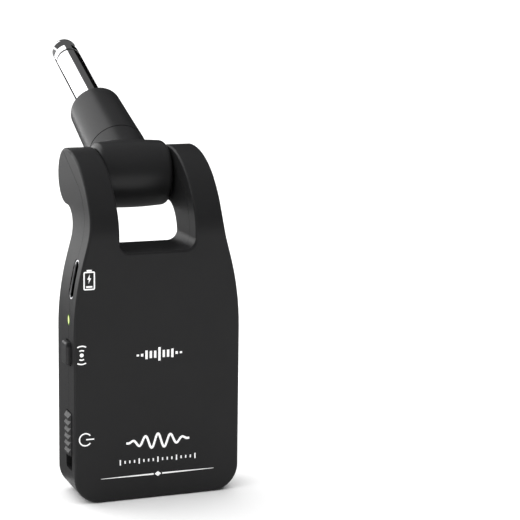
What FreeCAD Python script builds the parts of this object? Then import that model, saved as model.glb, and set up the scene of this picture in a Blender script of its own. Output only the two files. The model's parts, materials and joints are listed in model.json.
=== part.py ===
"""Clip-on wireless transmitter for a guitar: a slim two-part case with a fork at the top,
and a tilting quarter-inch plug held between the fork's ears.

Frame: millimetres, X to the right and Z up when the printed front is seen, Y towards the back.
The origin is the middle of the case's bottom face. The plug arm is drawn along its own Z axis,
with the hinge axis along X through its zero, and is then turned and set on the hinge.
"""
import FreeCAD, Part
import Sketcher
import math
import os

Vector = FreeCAD.Vector
Rotation = FreeCAD.Rotation
Placement = FreeCAD.Placement
X_AXIS = Vector(1, 0, 0)
Y_AXIS = Vector(0, 1, 0)
Z_AXIS = Vector(0, 0, 1)

DIMENSIONS = {
    # case outline, seen from the front
    "body_width": 39.0,
    "neck_step": 4.08,
    "neck_drop": 5.15,
    "shoulder_angle": 14.8,
    "shoulder_low_radius": 64.0,
    "shoulder_high_radius": 31.0,
    "bottom_corner": 6.0,
    # case outline, seen from the side
    "body_depth": 14.0,
    "hinge_behind": 7.9,
    "hinge_height": 71.55,
    "head_radius": 6.5,
    "brow_reach": 1.1,
    "brow_offset": 0.5,
    "brow_blend": 12.0,
    "nape_flat": 1.1,
    "edge_round": 0.6,
    # fork window between the two ears
    "ear_width": 6.55,
    "window_drop": 14.5,
    "window_corner": 2.4,
    # parting line between front cover and rear shell
    "seam_depth": 4.7,
    "seam_bend": 12.0,
    "seam_bend_drop": 11.05,
    "seam_angle": 26.57,
    "seam_groove_width": 0.08,
    "seam_groove_depth": 0.06,
    # walls
    "wall_front": 1.5,
    "wall_side": 1.6,
    "wall_back": 1.6,
    "wall_bottom": 1.6,
    "wall_roof": 1.85,
    # case screws and their posts
    "screw_low_inset": 5.9,
    "screw_low_height": 5.9,
    "screw_port_gap": 3.35,
    "screw_high_drop": 3.6,
    "post_radius": 2.0,
    "screw_radius": 0.8,
    "screw_free_radius": 1.0,
    "screw_head_radius": 1.7,
    "screw_head_height": 1.0,
    "screw_head_sink": 0.2,
    "screw_bite": 2.5,
    "screw_recess_gap": 0.2,
    "cross_length": 2.0,
    "cross_width": 0.45,
    "cross_depth": 0.6,
    # circuit board
    "board_gap": 0.4,
    "board_thickness": 1.0,
    "board_side_gap": 0.9,
    "board_low_gap": 1.2,
    "board_corner_trim": 1.9,
    "board_step_drop": 25.05,
    "board_top_gap": 0.4,
    "board_neck_gap": 0.22,
    "board_post_gap": 0.3,
    # charging port
    "port_drop": 20.65,
    "port_long": 8.94,
    "port_short": 3.26,
    "port_wall": 0.3,
    "port_depth": 7.3,
    "port_inset": 0.25,
    "port_gap": 0.18,
    "oval_flat": 0.02,
    "tongue_long": 6.69,
    "tongue_thickness": 0.7,
    "tongue_length": 4.45,
    "tongue_base": 1.0,
    "contact_pitch": 0.5,
    "contact_width": 0.25,
    "contact_length": 3.2,
    "contact_thickness": 0.06,
    # status light
    "light_drop": 9.1,
    "light_long": 2.7,
    "light_wide": 1.5,
    "light_gap": 0.04,
    "light_inset": 0.05,
    "light_length": 2.5,
    "lamp_length": 1.6,
    "lamp_high": 2.1,
    "lamp_wide": 1.6,
    "lamp_gap": 0.2,
    # pairing button
    "pair_drop": 7.45,
    "pair_long": 5.2,
    "pair_wide": 4.6,
    "pair_proud": 1.15,
    "pair_corner": 1.0,
    "pair_crown": 0.5,
    "button_gap": 0.25,
    "flange_gap": 0.15,
    "flange_thickness": 0.7,
    "flange_wide": 3.1,
    "flange_lap": 0.75,
    "pair_travel": 0.3,
    "plunger_radius": 0.75,
    "plunger_gap": 0.1,
    "plunger_inside": 0.9,
    "tact_gap": 1.95,
    "tact_length": 3.4,
    "tact_high": 3.5,
    "tact_wide": 4.2,
    # power slider
    "power_slot_low": 7.3,
    "power_slot_long": 13.6,
    "power_knob_long": 10.05,
    "power_wide": 4.3,
    "power_corner": 0.5,
    "power_base_proud": 0.1,
    "power_rib_height": 0.6,
    "power_rib_pitch": 1.6,
    "power_rib_count": 6,
    "power_rib_bevel": 0.3,
    "power_rib_inset": 0.15,
    "power_rib_root": 0.3,
    "power_rib_start": 0.2,
    "power_travel": 3.0,
    "slider_end_gap": 0.2,
    "switch_gap": 1.3,
    "switch_length": 3.6,
    "switch_end": 1.4,
    "lever_wide": 1.2,
    "lever_long": 1.4,
    "lever_gap": 0.15,
    "lever_inside": 1.4,
    "lever_under_top": 3.7,
    # battery
    "battery_side_gap": 2.9,
    "battery_front_gap": 0.5,
    "battery_post_gap": 0.3,
    "battery_top_gap": 7.0,
    "battery_corner": 1.0,
    "pad_inset": 2.0,
    "pad_thickness": 0.5,
    "lead_radius": 0.3,
    "lead_low_across": -1.0,
    "lead_pitch": 2.0,
    "lead_rise": 4.2,
    "connector_width": 6.4,
    "connector_high": 2.9,
    "connector_long": 3.8,
    # shield can and antenna
    "can_left": -4.0,
    "can_low": 24.0,
    "can_wide": 14.0,
    "can_tall": 14.0,
    "can_high": 2.2,
    "can_wall": 0.2,
    "antenna_long": 8.0,
    "antenna_wide": 2.0,
    "antenna_high": 0.9,
    "antenna_low": 28.0,
    "antenna_edge_gap": 0.6,
    # chips on the board: left edge, lower edge, width, height along the board, thickness
    "radio_chip_left": 0.5,
    "radio_chip_low": 28.5,
    "radio_chip_wide": 5.0,
    "radio_chip_tall": 5.0,
    "radio_chip_high": 0.85,
    "radio_crystal_left": -2.6,
    "radio_crystal_low": 33.6,
    "radio_crystal_wide": 2.0,
    "radio_crystal_tall": 2.5,
    "radio_crystal_high": 0.6,
    "audio_chip_left": -6.5,
    "audio_chip_low": 13.5,
    "audio_chip_wide": 4.0,
    "audio_chip_tall": 4.0,
    "audio_chip_high": 0.85,
    "charger_chip_left": -6.4,
    "charger_chip_drop": 8.0,
    "charger_chip_wide": 3.0,
    "charger_chip_tall": 3.0,
    "charger_chip_high": 1.1,
    "inductor_left": -1.2,
    "inductor_drop": 7.8,
    "inductor_wide": 3.0,
    "inductor_tall": 3.0,
    "inductor_high": 1.6,
    "capacitor_wide": 1.6,
    "capacitor_tall": 0.8,
    "capacitor_high": 0.6,
    # hinge
    "pin_radius": 2.4,
    "pin_bore_radius": 1.3,
    "pin_reach": 2.33,
    "pin_flange_radius": 3.2,
    "pin_flange_thickness": 0.8,
    "bush_wall": 0.86,
    "bush_clearance": 0.04,
    "bore_end_gap": 0.2,
    "washer_radius": 5.0,
    "washer_thickness": 0.25,
    "washer_gap": 0.06,
    # signal lead
    "signal_radius": 0.4,
    "signal_end_gap": 0.3,
    "lead_join_gap": 0.05,
    "signal_cover": 1.82,
    "channel_radius": 0.95,
    # plug arm
    "plug_tilt": 22.84,
    "knuckle_radius": 7.85,
    "knuckle_crown": 0.3,
    "knuckle_edge": 1.4,
    "knuckle_wall": 3.0,
    "knuckle_cavity_radius": 4.2,
    "knuckle_side_gap": 0.37,
    "collar_radius": 6.93,
    "collar_end": 10.4,
    "collar_blend": 1.2,
    "spigot_length": 4.0,
    "spigot_wall": 1.1,
    "barrel_bore_radius": 5.1,
    "barrel_nose_radius": 6.38,
    "barrel_rim": 30.45,
    "barrel_end": 33.4,
    "barrel_front_wall": 4.4,
    "rim_round": 0.35,
    "nose_top_radius": 3.5,
    "seam_line": 0.28,
    "seam_cut": 0.6,
    "sleeve_radius": 3.175,
    "sleeve_length": 23.15,
    "sleeve_neck_radius": 2.9,
    "sleeve_bore_radius": 1.9,
    "sleeve_flange_radius": 4.7,
    "sleeve_flange": 1.9,
    "ring_length": 0.8,
    "ring_under": 0.05,
    "rod_radius": 1.1,
    "insulator_flange": 1.6,
    "insulator_flange_radius": 3.6,
    "lug_thickness": 0.5,
    "rivet_radius": 1.9,
    "rivet_height": 0.8,
    "tip_land": 2.1,
    "tip_slope": 1.6,
    "tip_groove_radius": 2.2,
    "tip_flare": 1.1,
    "tip_head_radius": 3.12,
    "tip_head_round": 3.4,
    "tip_nose": 2.9,
    "tip_nose_radius": 0.7,
}

# places and sizes that follow from the dimensions, named so that expressions can use them
FOLLOWS = {
    "neck_width": "body_width - neck_step * 2",
    "neck_start": "hinge_height - neck_drop",
    "hinge_back": "body_depth / 2 + hinge_behind",
    "brow_radius": "body_depth + hinge_behind - brow_offset + brow_reach",
    "nape_radius": "hinge_behind - nape_flat",
    "window_width": "neck_width - ear_width * 2",
    "window_bottom": "hinge_height - window_drop",
    "cavity_top": "window_bottom - wall_roof",
    "seam_bend_height": "hinge_height - seam_bend_drop",
    "screw_low_across": "body_width / 2 - screw_low_inset",
    "screw_high_across": "body_width / 2 - port_inset - port_depth - screw_port_gap - post_radius",
    "screw_high_height": "cavity_top - screw_high_drop",
    "board_half_width": "body_width / 2 - wall_side - board_side_gap",
    "board_low": "wall_bottom + board_low_gap",
    "board_corner": "bottom_corner - wall_side - board_corner_trim",
    "board_step": "hinge_height - board_step_drop",
    "board_top": "cavity_top - board_top_gap",
    "board_top_half_width": "neck_width / 2 - board_neck_gap",
    "port_height": "hinge_height - port_drop",
    "light_height": "port_height - light_drop",
    "pair_height": "light_height - pair_drop",
    "power_slot_high": "power_slot_low + power_slot_long",
    "tact_front": "body_width / 2 - wall_side - tact_gap",
    "switch_front": "body_width / 2 - wall_side - switch_gap",
    "battery_width": "body_width - wall_side * 2 - battery_side_gap * 2",
    "battery_low": "screw_low_height + post_radius + battery_post_gap",
    "battery_top": "cavity_top - battery_top_gap",
    "antenna_right": "board_half_width - antenna_edge_gap",
    "charger_chip_low": "battery_top - charger_chip_drop",
    "inductor_low": "battery_top - inductor_drop",
    "pin_end": "window_width / 2 + pin_reach",
    "signal_start": "window_width / 2 - knuckle_side_gap - signal_end_gap",
    "signal_plane": "neck_width / 2 - signal_cover",
}

doc = FreeCAD.newDocument("guitar_transmitter")
sheet = doc.addObject("Spreadsheet::Sheet", "dims")
for row, (alias, amount) in enumerate(DIMENSIONS.items(), start=1):
    sheet.set(f"A{row}", alias)
    sheet.set(f"B{row}", str(amount))
    sheet.setAlias(f"B{row}", alias)
doc.recompute()


def full(expression):
    """The expression with each dimension pointing at the sheet and what follows written out."""
    words = []
    word = ""
    for letter in str(expression) + " ":
        if letter.isalnum() or letter in "_.":
            word += letter
            continue
        if word in FOLLOWS:
            word = f"({full(FOLLOWS[word])})"
        elif word in DIMENSIONS:
            word = f"dims.{word}"
        words.append(word)
        words.append(letter)
        word = ""
    return "".join(words).strip()


def number(expression):
    return float(sheet.evalExpression(full(expression)))


def at(x=0, y=0, z=0):
    return Vector(number(x), number(y), number(z))


def minus(*terms):
    """The first expression less all the others."""
    return " - ".join(f"({term})" for term in terms)


def plus(*terms):
    return " + ".join(f"({term})" for term in terms)


# places that several pieces share, worked out from the dimensions
FRONT = "-body_depth / 2"
BACK = "body_depth / 2"
SEAM = plus(FRONT, "seam_depth")
SIDE = "-body_width / 2"
INNER_SIDE = plus(SIDE, "wall_side")
CAVITY_FRONT = plus(FRONT, "wall_front")
CAVITY_BACK = minus(BACK, "wall_back")
BOARD_FRONT = plus(CAVITY_FRONT, "board_gap")
BOARD_BACK = plus(BOARD_FRONT, "board_thickness")
PAD_FRONT = minus(CAVITY_BACK, "pad_thickness")
BATTERY_FRONT = plus(BOARD_BACK, "tact_high", "battery_front_gap")
SCREWS = [
    ("-screw_low_across", "screw_low_height"),
    ("screw_low_across", "screw_low_height"),
    ("-screw_high_across", "screw_high_height"),
    ("screw_high_across", "screw_high_height"),
]
SHOULDER_ARCS = "(shoulder_low_radius + shoulder_high_radius) * (1 - cos(shoulder_angle * 1deg))"
SHOULDER_RUN = f"(neck_step - {SHOULDER_ARCS}) / sin(shoulder_angle * 1deg)"
KNUCKLE_END = "window_width / 2 - knuckle_side_gap"
PIN_START = minus(KNUCKLE_END, "knuckle_wall")
BUSH_RADIUS = "pin_radius + bush_clearance + bush_wall"
FLANGE_OUT = plus(INNER_SIDE, "flange_gap")
FLANGE_IN = plus(FLANGE_OUT, "flange_thickness")
sub_parts = []


def keep(piece, label):
    """Name a finished sub-part: the label is also its file's name."""
    piece.Label = label
    sub_parts.append(piece)
    return piece


def bind(target, **expressions):
    for name, expression in expressions.items():
        target.setExpression(name, full(expression))


def place(target, x=0, y=0, z=0):
    for letter, expression in zip("xyz", (x, y, z)):
        target.setExpression(f"Placement.Base.{letter}", full(expression))


def on_arm(piece):
    """Turn a piece of the plug arm to its resting tilt and set it on the hinge axis."""
    piece.Placement = Placement(Vector(), Rotation(X_AXIS, 1))
    piece.setExpression("Placement.Rotation.Angle", full("plug_tilt - 90"))
    place(piece, 0, "hinge_back", "hinge_height")
    return piece


def box(name, x, y, z):
    """A block between two expressions along each axis."""
    block = doc.addObject("Part::Box", name)
    bind(block, Length=minus(x[1], x[0]), Width=minus(y[1], y[0]), Height=minus(z[1], z[0]))
    place(block, x[0], y[0], z[0])
    return block


def cylinder(name, axis, radius, start, length):
    """A cylinder from the point start, along one of the row axes."""
    rod = doc.addObject("Part::Cylinder", name)
    rod.Placement = Placement(Vector(), Rotation(Z_AXIS, axis))
    bind(rod, Radius=radius, Height=length)
    place(rod, *start)
    return rod


def cut(name, base, *tools):
    result = doc.addObject("Part::Cut", name)
    result.Base = base
    result.Tool = tools[0] if len(tools) == 1 else fuse(f"{name}_tools", *tools)
    return result


def fuse(name, *shapes):
    result = doc.addObject("Part::MultiFuse", name)
    result.Shapes = list(shapes)
    return result


def common(name, *shapes):
    result = doc.addObject("Part::MultiCommon", name)
    result.Shapes = list(shapes)
    return result


def group(name, pieces):
    """Like pieces kept as separate solids of one sub-part."""
    result = doc.addObject("Part::Compound", name)
    result.Links = list(pieces)
    return result


def new_body(name):
    return doc.addObject("PartDesign::Body", name)


def loop_sketch(body, name, plane, corners):
    """A closed loop of lines and arcs on an origin plane of the body.

    Each corner is (across, up) or (across, up, radius, side): the radius belongs to the edge that
    leaves the corner, and side is 1 where the arc turns left and -1 where it turns right.
    """
    sketch = body.newObject("Sketcher::SketchObject", name)
    datum = [item for item in body.Origin.OriginFeatures if item.Role == plane][0]
    sketch.AttachmentSupport = [(datum, "")]
    sketch.MapMode = "FlatFace"
    points = [Vector(number(corner[0]), number(corner[1]), 0) for corner in corners]
    first_ends = []
    for index, corner in enumerate(corners):
        start = points[index]
        end = points[(index + 1) % len(points)]
        if len(corner) == 2:
            sketch.addGeometry(Part.LineSegment(start, end))
            first_ends.append(1)
            continue
        radius = number(corner[2])
        side = corner[3]
        chord = end - start
        height = max(radius ** 2 - chord.Length ** 2 / 4, 0.0) ** 0.5
        left = Vector(-chord.y, chord.x, 0) / chord.Length
        centre = (start + end) / 2 + left * height * side
        ends = (start, end) if side > 0 else (end, start)
        circle = Part.Circle(centre, Z_AXIS, radius)
        geometry = sketch.addGeometry(Part.ArcOfCircle(circle, *arc_angles(centre, *ends)))
        first_ends.append(1 if side > 0 else 2)
        constraint = sketch.addConstraint(Sketcher.Constraint("Radius", geometry, radius))
        sketch.renameConstraint(constraint, f"radius_{index}")
        sketch.setExpression(f"Constraints.radius_{index}", full(corner[2]))
    for index, corner in enumerate(corners):
        following = (index + 1) % len(corners)
        last_end = 3 - first_ends[index]
        sketch.addConstraint(
            Sketcher.Constraint("Coincident", index, last_end, following, first_ends[following]))
        for letter, kind, expression in (
                ("x", "DistanceX", corner[0]), ("y", "DistanceY", corner[1])):
            amount = number(expression)
            fixed = Sketcher.Constraint(kind, -1, 1, index, first_ends[index], amount)
            constraint = sketch.addConstraint(fixed)
            sketch.renameConstraint(constraint, f"corner_{index}{letter}")
            sketch.setExpression(f"Constraints.corner_{index}{letter}", full(expression))
    doc.recompute()
    return sketch


def arc_angles(centre, start, end):
    """First and last angle of an arc that runs anticlockwise from start to end."""
    first = math.atan2(start.y - centre.y, start.x - centre.x)
    last = math.atan2(end.y - centre.y, end.x - centre.x)
    if last <= first:
        last += 2 * math.pi
    return first, last


def prism(name, plane, corners, length, middle=True):
    """A body padded from one loop, to both sides of its plane when middle is true."""
    body = new_body(name)
    sketch = loop_sketch(body, f"{name}_outline", plane, corners)
    pad = body.newObject("PartDesign::Pad", f"{name}_pad")
    pad.Profile = sketch
    pad.Midplane = middle
    bind(pad, Length=length)
    doc.recompute()
    return body


def turned(name, corners, axis="V_Axis"):
    """A body of revolution: the loop is drawn as (radius, height) and turned about Z."""
    body = new_body(name)
    sketch = loop_sketch(body, f"{name}_profile", "XZ_Plane", corners)
    revolution = body.newObject("PartDesign::Revolution", f"{name}_turn")
    revolution.Profile = sketch
    revolution.ReferenceAxis = (sketch, [axis])
    revolution.Angle = 360
    doc.recompute()
    return body


def rounded_block(name, across, up, radius, x_from, x_to, centre_y, centre_z):
    """A block along X whose section is a rounded rectangle, across along Y and up along Z."""
    half = f"({across}) / 2"
    tall = f"({up}) / 2"
    inner = minus(half, radius)
    high = minus(tall, radius)
    corners = [
        (minus("0", inner), minus("0", tall)),
        (inner, minus("0", tall), radius, 1),
        (half, minus("0", high)),
        (half, high, radius, 1),
        (inner, tall),
        (minus("0", inner), tall, radius, 1),
        (minus("0", half), high),
        (minus("0", half), minus("0", high), radius, 1),
    ]
    body = prism(name, "YZ_Plane", corners, minus(x_to, x_from), middle=False)
    place(body, x_from, centre_y, centre_z)
    return body


def edges_where(shape, test):
    """Numbers of the edges whose middle point passes the test."""
    found = []
    for index, edge in enumerate(shape.Edges, start=1):
        middle = edge.valueAt((edge.FirstParameter + edge.LastParameter) / 2)
        if test(middle, edge):
            found.append(index)
    return found


def rounded(name, base, radius, test):
    doc.recompute()
    result = doc.addObject("Part::Fillet", name)
    result.Base = base
    amount = number(radius)
    result.Edges = [(index, amount, amount) for index in edges_where(base.Shape, test)]
    return result


# ---------------------------------------------------------------- case envelope

def case_outline(inset):
    """Front outline: round bottom corners, and shoulders that draw in to the neck in an S."""
    half = f"body_width / 2 - {inset}"
    neck = f"neck_width / 2 - {inset}"
    corner = f"bottom_corner - {inset}"
    low_radius = f"shoulder_low_radius - {inset}"
    high_radius = f"shoulder_high_radius + {inset}"
    turn_in = "(1 - cos(shoulder_angle * 1deg))"
    rise = "sin(shoulder_angle * 1deg)"
    high_end = f"neck_start - shoulder_high_radius * {rise} - {inset} * {rise}"
    low_end = f"{high_end} - {SHOULDER_RUN} * cos(shoulder_angle * 1deg)"
    low_start = f"{low_end} - ({low_radius}) * {rise}"
    high_x = f"{neck} + ({high_radius}) * {turn_in}"
    low_x = f"{half} - ({low_radius}) * {turn_in}"
    top = "hinge_height + knuckle_radius + head_radius"
    right = [
        (f"{half} - ({corner})", inset, corner, 1),
        (half, f"{inset} + {corner}"),
        (half, low_start, low_radius, 1),
        (low_x, low_end),
        (high_x, high_end, high_radius, -1),
        (neck, "neck_start"),
    ]
    left = [
        (f"-({neck})", "neck_start", high_radius, -1),
        (f"-({high_x})", high_end),
        (f"-({low_x})", low_end, low_radius, 1),
        (f"-({half})", low_start),
        (f"-({half})", f"{inset} + {corner}", corner, 1),
        (f"-({half} - ({corner}))", inset),
    ]
    return right + [(neck, top), (f"-({neck})", top)] + left


def case_side():
    """Side outline: a straight slab whose top leans back into the round head at the hinge."""
    arm = "(brow_radius - head_radius)"
    brow_y = "(hinge_back - brow_offset)"
    brow_z = f"(hinge_height - ({arm} ^ 2 - brow_offset ^ 2) ^ 0.5)"
    blend_y = f"({FRONT} + brow_blend)"
    blend_reach = "(brow_radius - brow_blend)"
    blend_z = f"({brow_z} + ({blend_reach} ^ 2 - ({brow_y} - {blend_y}) ^ 2) ^ 0.5)"
    stretch = f"(brow_radius / {blend_reach})"
    meet_y = f"{brow_y} + ({blend_y} - {brow_y}) * {stretch}"
    meet_z = f"{brow_z} + ({blend_z} - {brow_z}) * {stretch}"
    crown_y = f"hinge_back + brow_offset * head_radius / {arm}"
    crown_z = f"hinge_height + (hinge_height - {brow_z}) * head_radius / {arm}"
    nape_z = "hinge_height - head_radius - nape_radius"
    return [
        (BACK, "0"),
        (BACK, nape_z, "nape_radius", -1),
        (f"{BACK} + nape_radius", "hinge_height - head_radius"),
        ("hinge_back", "hinge_height - head_radius", "head_radius", 1),
        ("hinge_back + head_radius", "hinge_height", "head_radius", 1),
        (crown_y, crown_z, "brow_radius", 1),
        (meet_y, meet_z, "brow_blend", 1),
        (FRONT, blend_z),
        (FRONT, "0"),
    ]


def seam_side():
    """Everything in front of the parting line, seen from the side."""
    bend_end_y = f"{SEAM} + seam_bend * (1 - cos((90 - seam_angle) * 1deg))"
    bend_end_z = "seam_bend_height + seam_bend * sin((90 - seam_angle) * 1deg)"
    far_y = "hinge_back + head_radius * 2"
    far_z = f"{bend_end_z} + ({far_y} - ({bend_end_y})) * tan(seam_angle * 1deg)"
    return [
        (SEAM, "-1"),
        (SEAM, "seam_bend_height", "seam_bend", -1),
        (bend_end_y, bend_end_z),
        (far_y, far_z),
        (far_y, f"{far_z} + 1"),
        (f"{FRONT} - 1", f"{far_z} + 1"),
        (f"{FRONT} - 1", "-1"),
    ]


def window_shape(name, grow):
    """The slot between the ears, open at the top, with rounded lower corners."""
    half = f"(window_width / 2 + {grow})"
    corner = f"(window_corner + {grow})"
    top = "hinge_height + knuckle_radius * 2 + head_radius"
    corners = [
        (f"-{half} + {corner}", f"window_bottom - {grow}"),
        (f"{half} - {corner}", f"window_bottom - {grow}", corner, 1),
        (half, "window_bottom + window_corner"),
        (half, top),
        (f"-{half}", top),
        (f"-{half}", "window_bottom + window_corner", corner, 1),
    ]
    return prism(name, "XZ_Plane", corners, "body_depth * 6")


outline = prism("case_outline", "XZ_Plane", case_outline("0"), "body_depth * 6")
profile = prism("case_profile", "YZ_Plane", case_side(), "body_width * 2")
window = window_shape("fork_window", "0")
solid_case = cut("case_blank", common("case_block", outline, profile), window)
doc.recompute()


def on_rim(point, edge):
    """Edges that run round the front, the back and the window, but not across the walls."""
    direction = edge.tangentAt((edge.FirstParameter + edge.LastParameter) / 2)
    return abs(direction.y) < 0.999 and not is_side_joint(edge)


def is_side_joint(edge):
    """Where two smooth stretches of one wall meet, the edge isn't a corner."""
    faces = [face for face in solid_case.Shape.Faces if any(e.isSame(edge) for e in face.Edges)]
    if len(faces) != 2:
        return True
    middle = edge.valueAt((edge.FirstParameter + edge.LastParameter) / 2)
    normals = []
    for face in faces:
        u, v = face.Surface.parameter(middle)
        normal = face.normalAt(u, v)
        normals.append(normal)
    return normals[0].getAngle(normals[1]) < 0.35


case_round = rounded("case_rounded", solid_case, "edge_round", on_rim)

# ---------------------------------------------------------------- openings in the side wall


def port_places():
    """The port's lean follows the shoulder arc at the port's own height."""
    low_end = ("neck_start - shoulder_high_radius * sin(shoulder_angle * 1deg)"
               f" - {SHOULDER_RUN} * cos(shoulder_angle * 1deg)")
    low_start = f"{low_end} - shoulder_low_radius * sin(shoulder_angle * 1deg)"
    rise = f"((port_height - ({low_start})) / shoulder_low_radius)"
    lean = f"asin({rise})"
    surface = f"{SIDE} + shoulder_low_radius * (1 - (1 - {rise} ^ 2) ^ 0.5)"
    return lean, surface


PORT_LEAN, PORT_SURFACE = port_places()


def in_port(piece):
    """Set a piece drawn along X from zero into the leaning port; X runs into the case."""
    piece.Placement = Placement(Vector(), Rotation(Y_AXIS, 1))
    piece.setExpression("Placement.Rotation.Angle", full(PORT_LEAN))
    place(piece, PORT_SURFACE, SEAM, "port_height")
    return piece


def racetrack(name, long_way, short_way, x_from, x_to):
    """A flat oval along X: long along Z, short along Y, its ends all but half-round."""
    return rounded_block(name, short_way, long_way, f"({short_way}) / 2 - oval_flat",
                         x_from, x_to, 0, 0)


PORT_HOLE_LONG = "port_long + port_gap * 2"
PORT_HOLE_SHORT = "port_short + port_gap * 2"
port_opening = in_port(racetrack("port_opening", PORT_HOLE_LONG, PORT_HOLE_SHORT, "-2",
                                 "wall_side * 4"))

OUTSIDE = f"{SIDE} - 3"
INSIDE = f"{INNER_SIDE} + 0.4"
LIGHT_HOLE = "light_wide + light_gap * 2"
light_opening = rounded_block("light_opening", LIGHT_HOLE, "light_long + light_gap * 2",
                              "light_wide / 2", OUTSIDE, INSIDE, SEAM, "light_height")
pair_opening = rounded_block("pair_opening", "pair_wide + button_gap * 2",
                             "pair_long + button_gap * 2", "pair_corner + button_gap",
                             OUTSIDE, INSIDE, SEAM, "pair_height")
power_opening = rounded_block("power_opening", "power_wide + button_gap * 2",
                              "power_slot_high - power_slot_low", "power_corner + button_gap",
                              OUTSIDE, INSIDE, SEAM, "(power_slot_high + power_slot_low) / 2")
side_openings = fuse("side_openings", port_opening, light_opening, pair_opening, power_opening)

# ---------------------------------------------------------------- signal lead and its channel


def route(points, radius_share=0.45):
    """Straight runs joined by tangent arcs through a lead's corner points."""
    places = [at(*point) for point in points]
    edges = []
    start = places[0]
    for before, corner, after in zip(places, places[1:], places[2:]):
        arrive = (corner - before).normalize()
        leave = (after - corner).normalize()
        turn = arrive.getAngle(leave)
        shorter = min((corner - before).Length, (after - corner).Length)
        setback = radius_share * shorter
        bend = setback / math.tan(turn / 2)
        first = corner - arrive * setback
        last = corner + leave * setback
        inward = (leave - arrive).normalize()
        centre = corner + inward * (bend / math.cos(turn / 2))
        edges.append(Part.LineSegment(start, first).toShape())
        edges.append(Part.Arc(first, centre - inward * bend, last).toShape())
        print(f"bend radius {bend:.2f}")
        start = last
    edges.append(Part.LineSegment(start, places[-1]).toShape())
    return Part.Wire(edges)


def lead(name, points, radius):
    """A round lead along a route; its volume must be its section times its length."""
    path = route(points)
    first = path.Edges[0]
    section = Part.Wire(Part.Circle(first.valueAt(0), first.tangentAt(0), number(radius)).toShape())
    shape = path.makePipeShell([section], True, False)
    expected = path.Length * math.pi * number(radius) ** 2
    if abs(shape.Volume / expected - 1) > 0.01:
        raise ValueError(f"{name} isn't a clean tube")
    piece = doc.addObject("Part::Feature", name)
    piece.Shape = shape
    return piece


SIGNAL_ROUTE = [
    ("-signal_start", "hinge_back", "hinge_height"),
    ("-signal_plane", "hinge_back", "hinge_height"),
    ("-signal_plane + 0.4", f"{BACK} - 3.4", "hinge_height - 8.35"),
    ("-signal_plane + 3.6", "1.6", "cavity_top - 0.3"),
    ("-signal_plane + 4.5", "-1.6", "battery_top + 1.3"),
    ("-signal_plane + 4.5", f"{BOARD_BACK} + signal_radius", "battery_top - 2.6"),
]
signal_channel = lead("signal_channel", SIGNAL_ROUTE[:4], "channel_radius")

# ---------------------------------------------------------------- case shells

cavity = common(
    "case_cavity",
    prism("cavity_outline", "XZ_Plane", case_outline("wall_side"), "body_depth * 6"),
    box("cavity_depth", (SIDE, "body_width / 2"), (CAVITY_FRONT, CAVITY_BACK),
        ("wall_bottom", "cavity_top")))
front_region = prism("front_region", "YZ_Plane", seam_side(), "body_width * 2")

# a fine groove along the parting line, cut into the rear shell's edge
groove_region = prism("groove_region", "YZ_Plane", seam_side(), "body_width * 2")
place(groove_region, 0, "seam_groove_width", "-seam_groove_width * 0.75")
groove_core = cut(
    "groove_core",
    prism("groove_outline", "XZ_Plane", case_outline("seam_groove_depth"), "body_depth * 6"),
    window_shape("groove_window", "seam_groove_depth"))
seam_groove = cut("seam_groove", groove_region, groove_core)


def ear_bore(name, side):
    """Blind bore for the hinge bush, open towards the knuckle."""
    start = "window_width / 2 - 1" if side > 0 else f"-({BORE_END})"
    length = f"{BORE_END} - window_width / 2 + 1"
    return cylinder(name, X_AXIS, BUSH_RADIUS, (start, "hinge_back", "hinge_height"), length)


BORE_END = "pin_end + bore_end_gap"
case_hollow = cut(
    "case_hollow", case_round, cavity, side_openings, signal_channel,
    ear_bore("left_bore", -1), ear_bore("right_bore", 1))


def post(name, x, z, radius, start, end):
    return cylinder(name, Y_AXIS, radius, (x, start, z), minus(end, start))


HEAD_BACK = minus(BACK, "screw_head_sink")
HEAD_FRONT = minus(HEAD_BACK, "screw_head_height")
rear_posts = []
rear_holes = []
front_bosses = []
front_holes = []
for index, (across, height) in enumerate(SCREWS):
    rear_posts.append(post(f"rear_post_{index}", across, height, "post_radius", SEAM, CAVITY_BACK))
    rear_holes.append(post(f"rear_hole_{index}", across, height, "screw_free_radius", SEAM, BACK))
    rear_holes.append(post(f"head_recess_{index}", across, height,
                           "screw_head_radius + screw_recess_gap", HEAD_FRONT, f"{BACK} + 1"))
    front_bosses.append(post(f"front_boss_{index}", across, height, "post_radius",
                             CAVITY_FRONT, SEAM))
    front_holes.append(post(f"front_hole_{index}", across, height, "screw_radius",
                            f"{SEAM} - screw_bite", SEAM))
front_half = common("front_half", case_hollow, front_region)
rear_half = cut("rear_half", case_hollow, front_region, seam_groove)
keep(cut("front_cover_piece", fuse("front_with_bosses", front_half, *front_bosses), *front_holes),
     "front_cover")
keep(cut("rear_shell_piece", fuse("rear_with_posts", rear_half, *rear_posts), *rear_holes),
     "rear_shell")

screws = []
for index, (across, height) in enumerate(SCREWS):
    head = post(f"screw_head_{index}", across, height, "screw_head_radius", HEAD_FRONT, HEAD_BACK)
    shank = post(f"screw_shank_{index}", across, height, "screw_radius",
                 f"{SEAM} - screw_bite", HEAD_FRONT)
    slot_y = (f"{HEAD_BACK} - cross_depth", f"{HEAD_BACK} + 1")
    flat = box(f"cross_flat_{index}", (f"{across} - cross_length / 2", f"{across} + cross_length / 2"),
               slot_y, (f"{height} - cross_width / 2", f"{height} + cross_width / 2"))
    tall = box(f"cross_tall_{index}", (f"{across} - cross_width / 2", f"{across} + cross_width / 2"),
               slot_y, (f"{height} - cross_length / 2", f"{height} + cross_length / 2"))
    screws.append(cut(f"screw_{index}", fuse(f"screw_blank_{index}", head, shank), flat, tall))
keep(group("screw_group", screws), "case_screws")

# ---------------------------------------------------------------- circuit board and its parts

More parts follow.
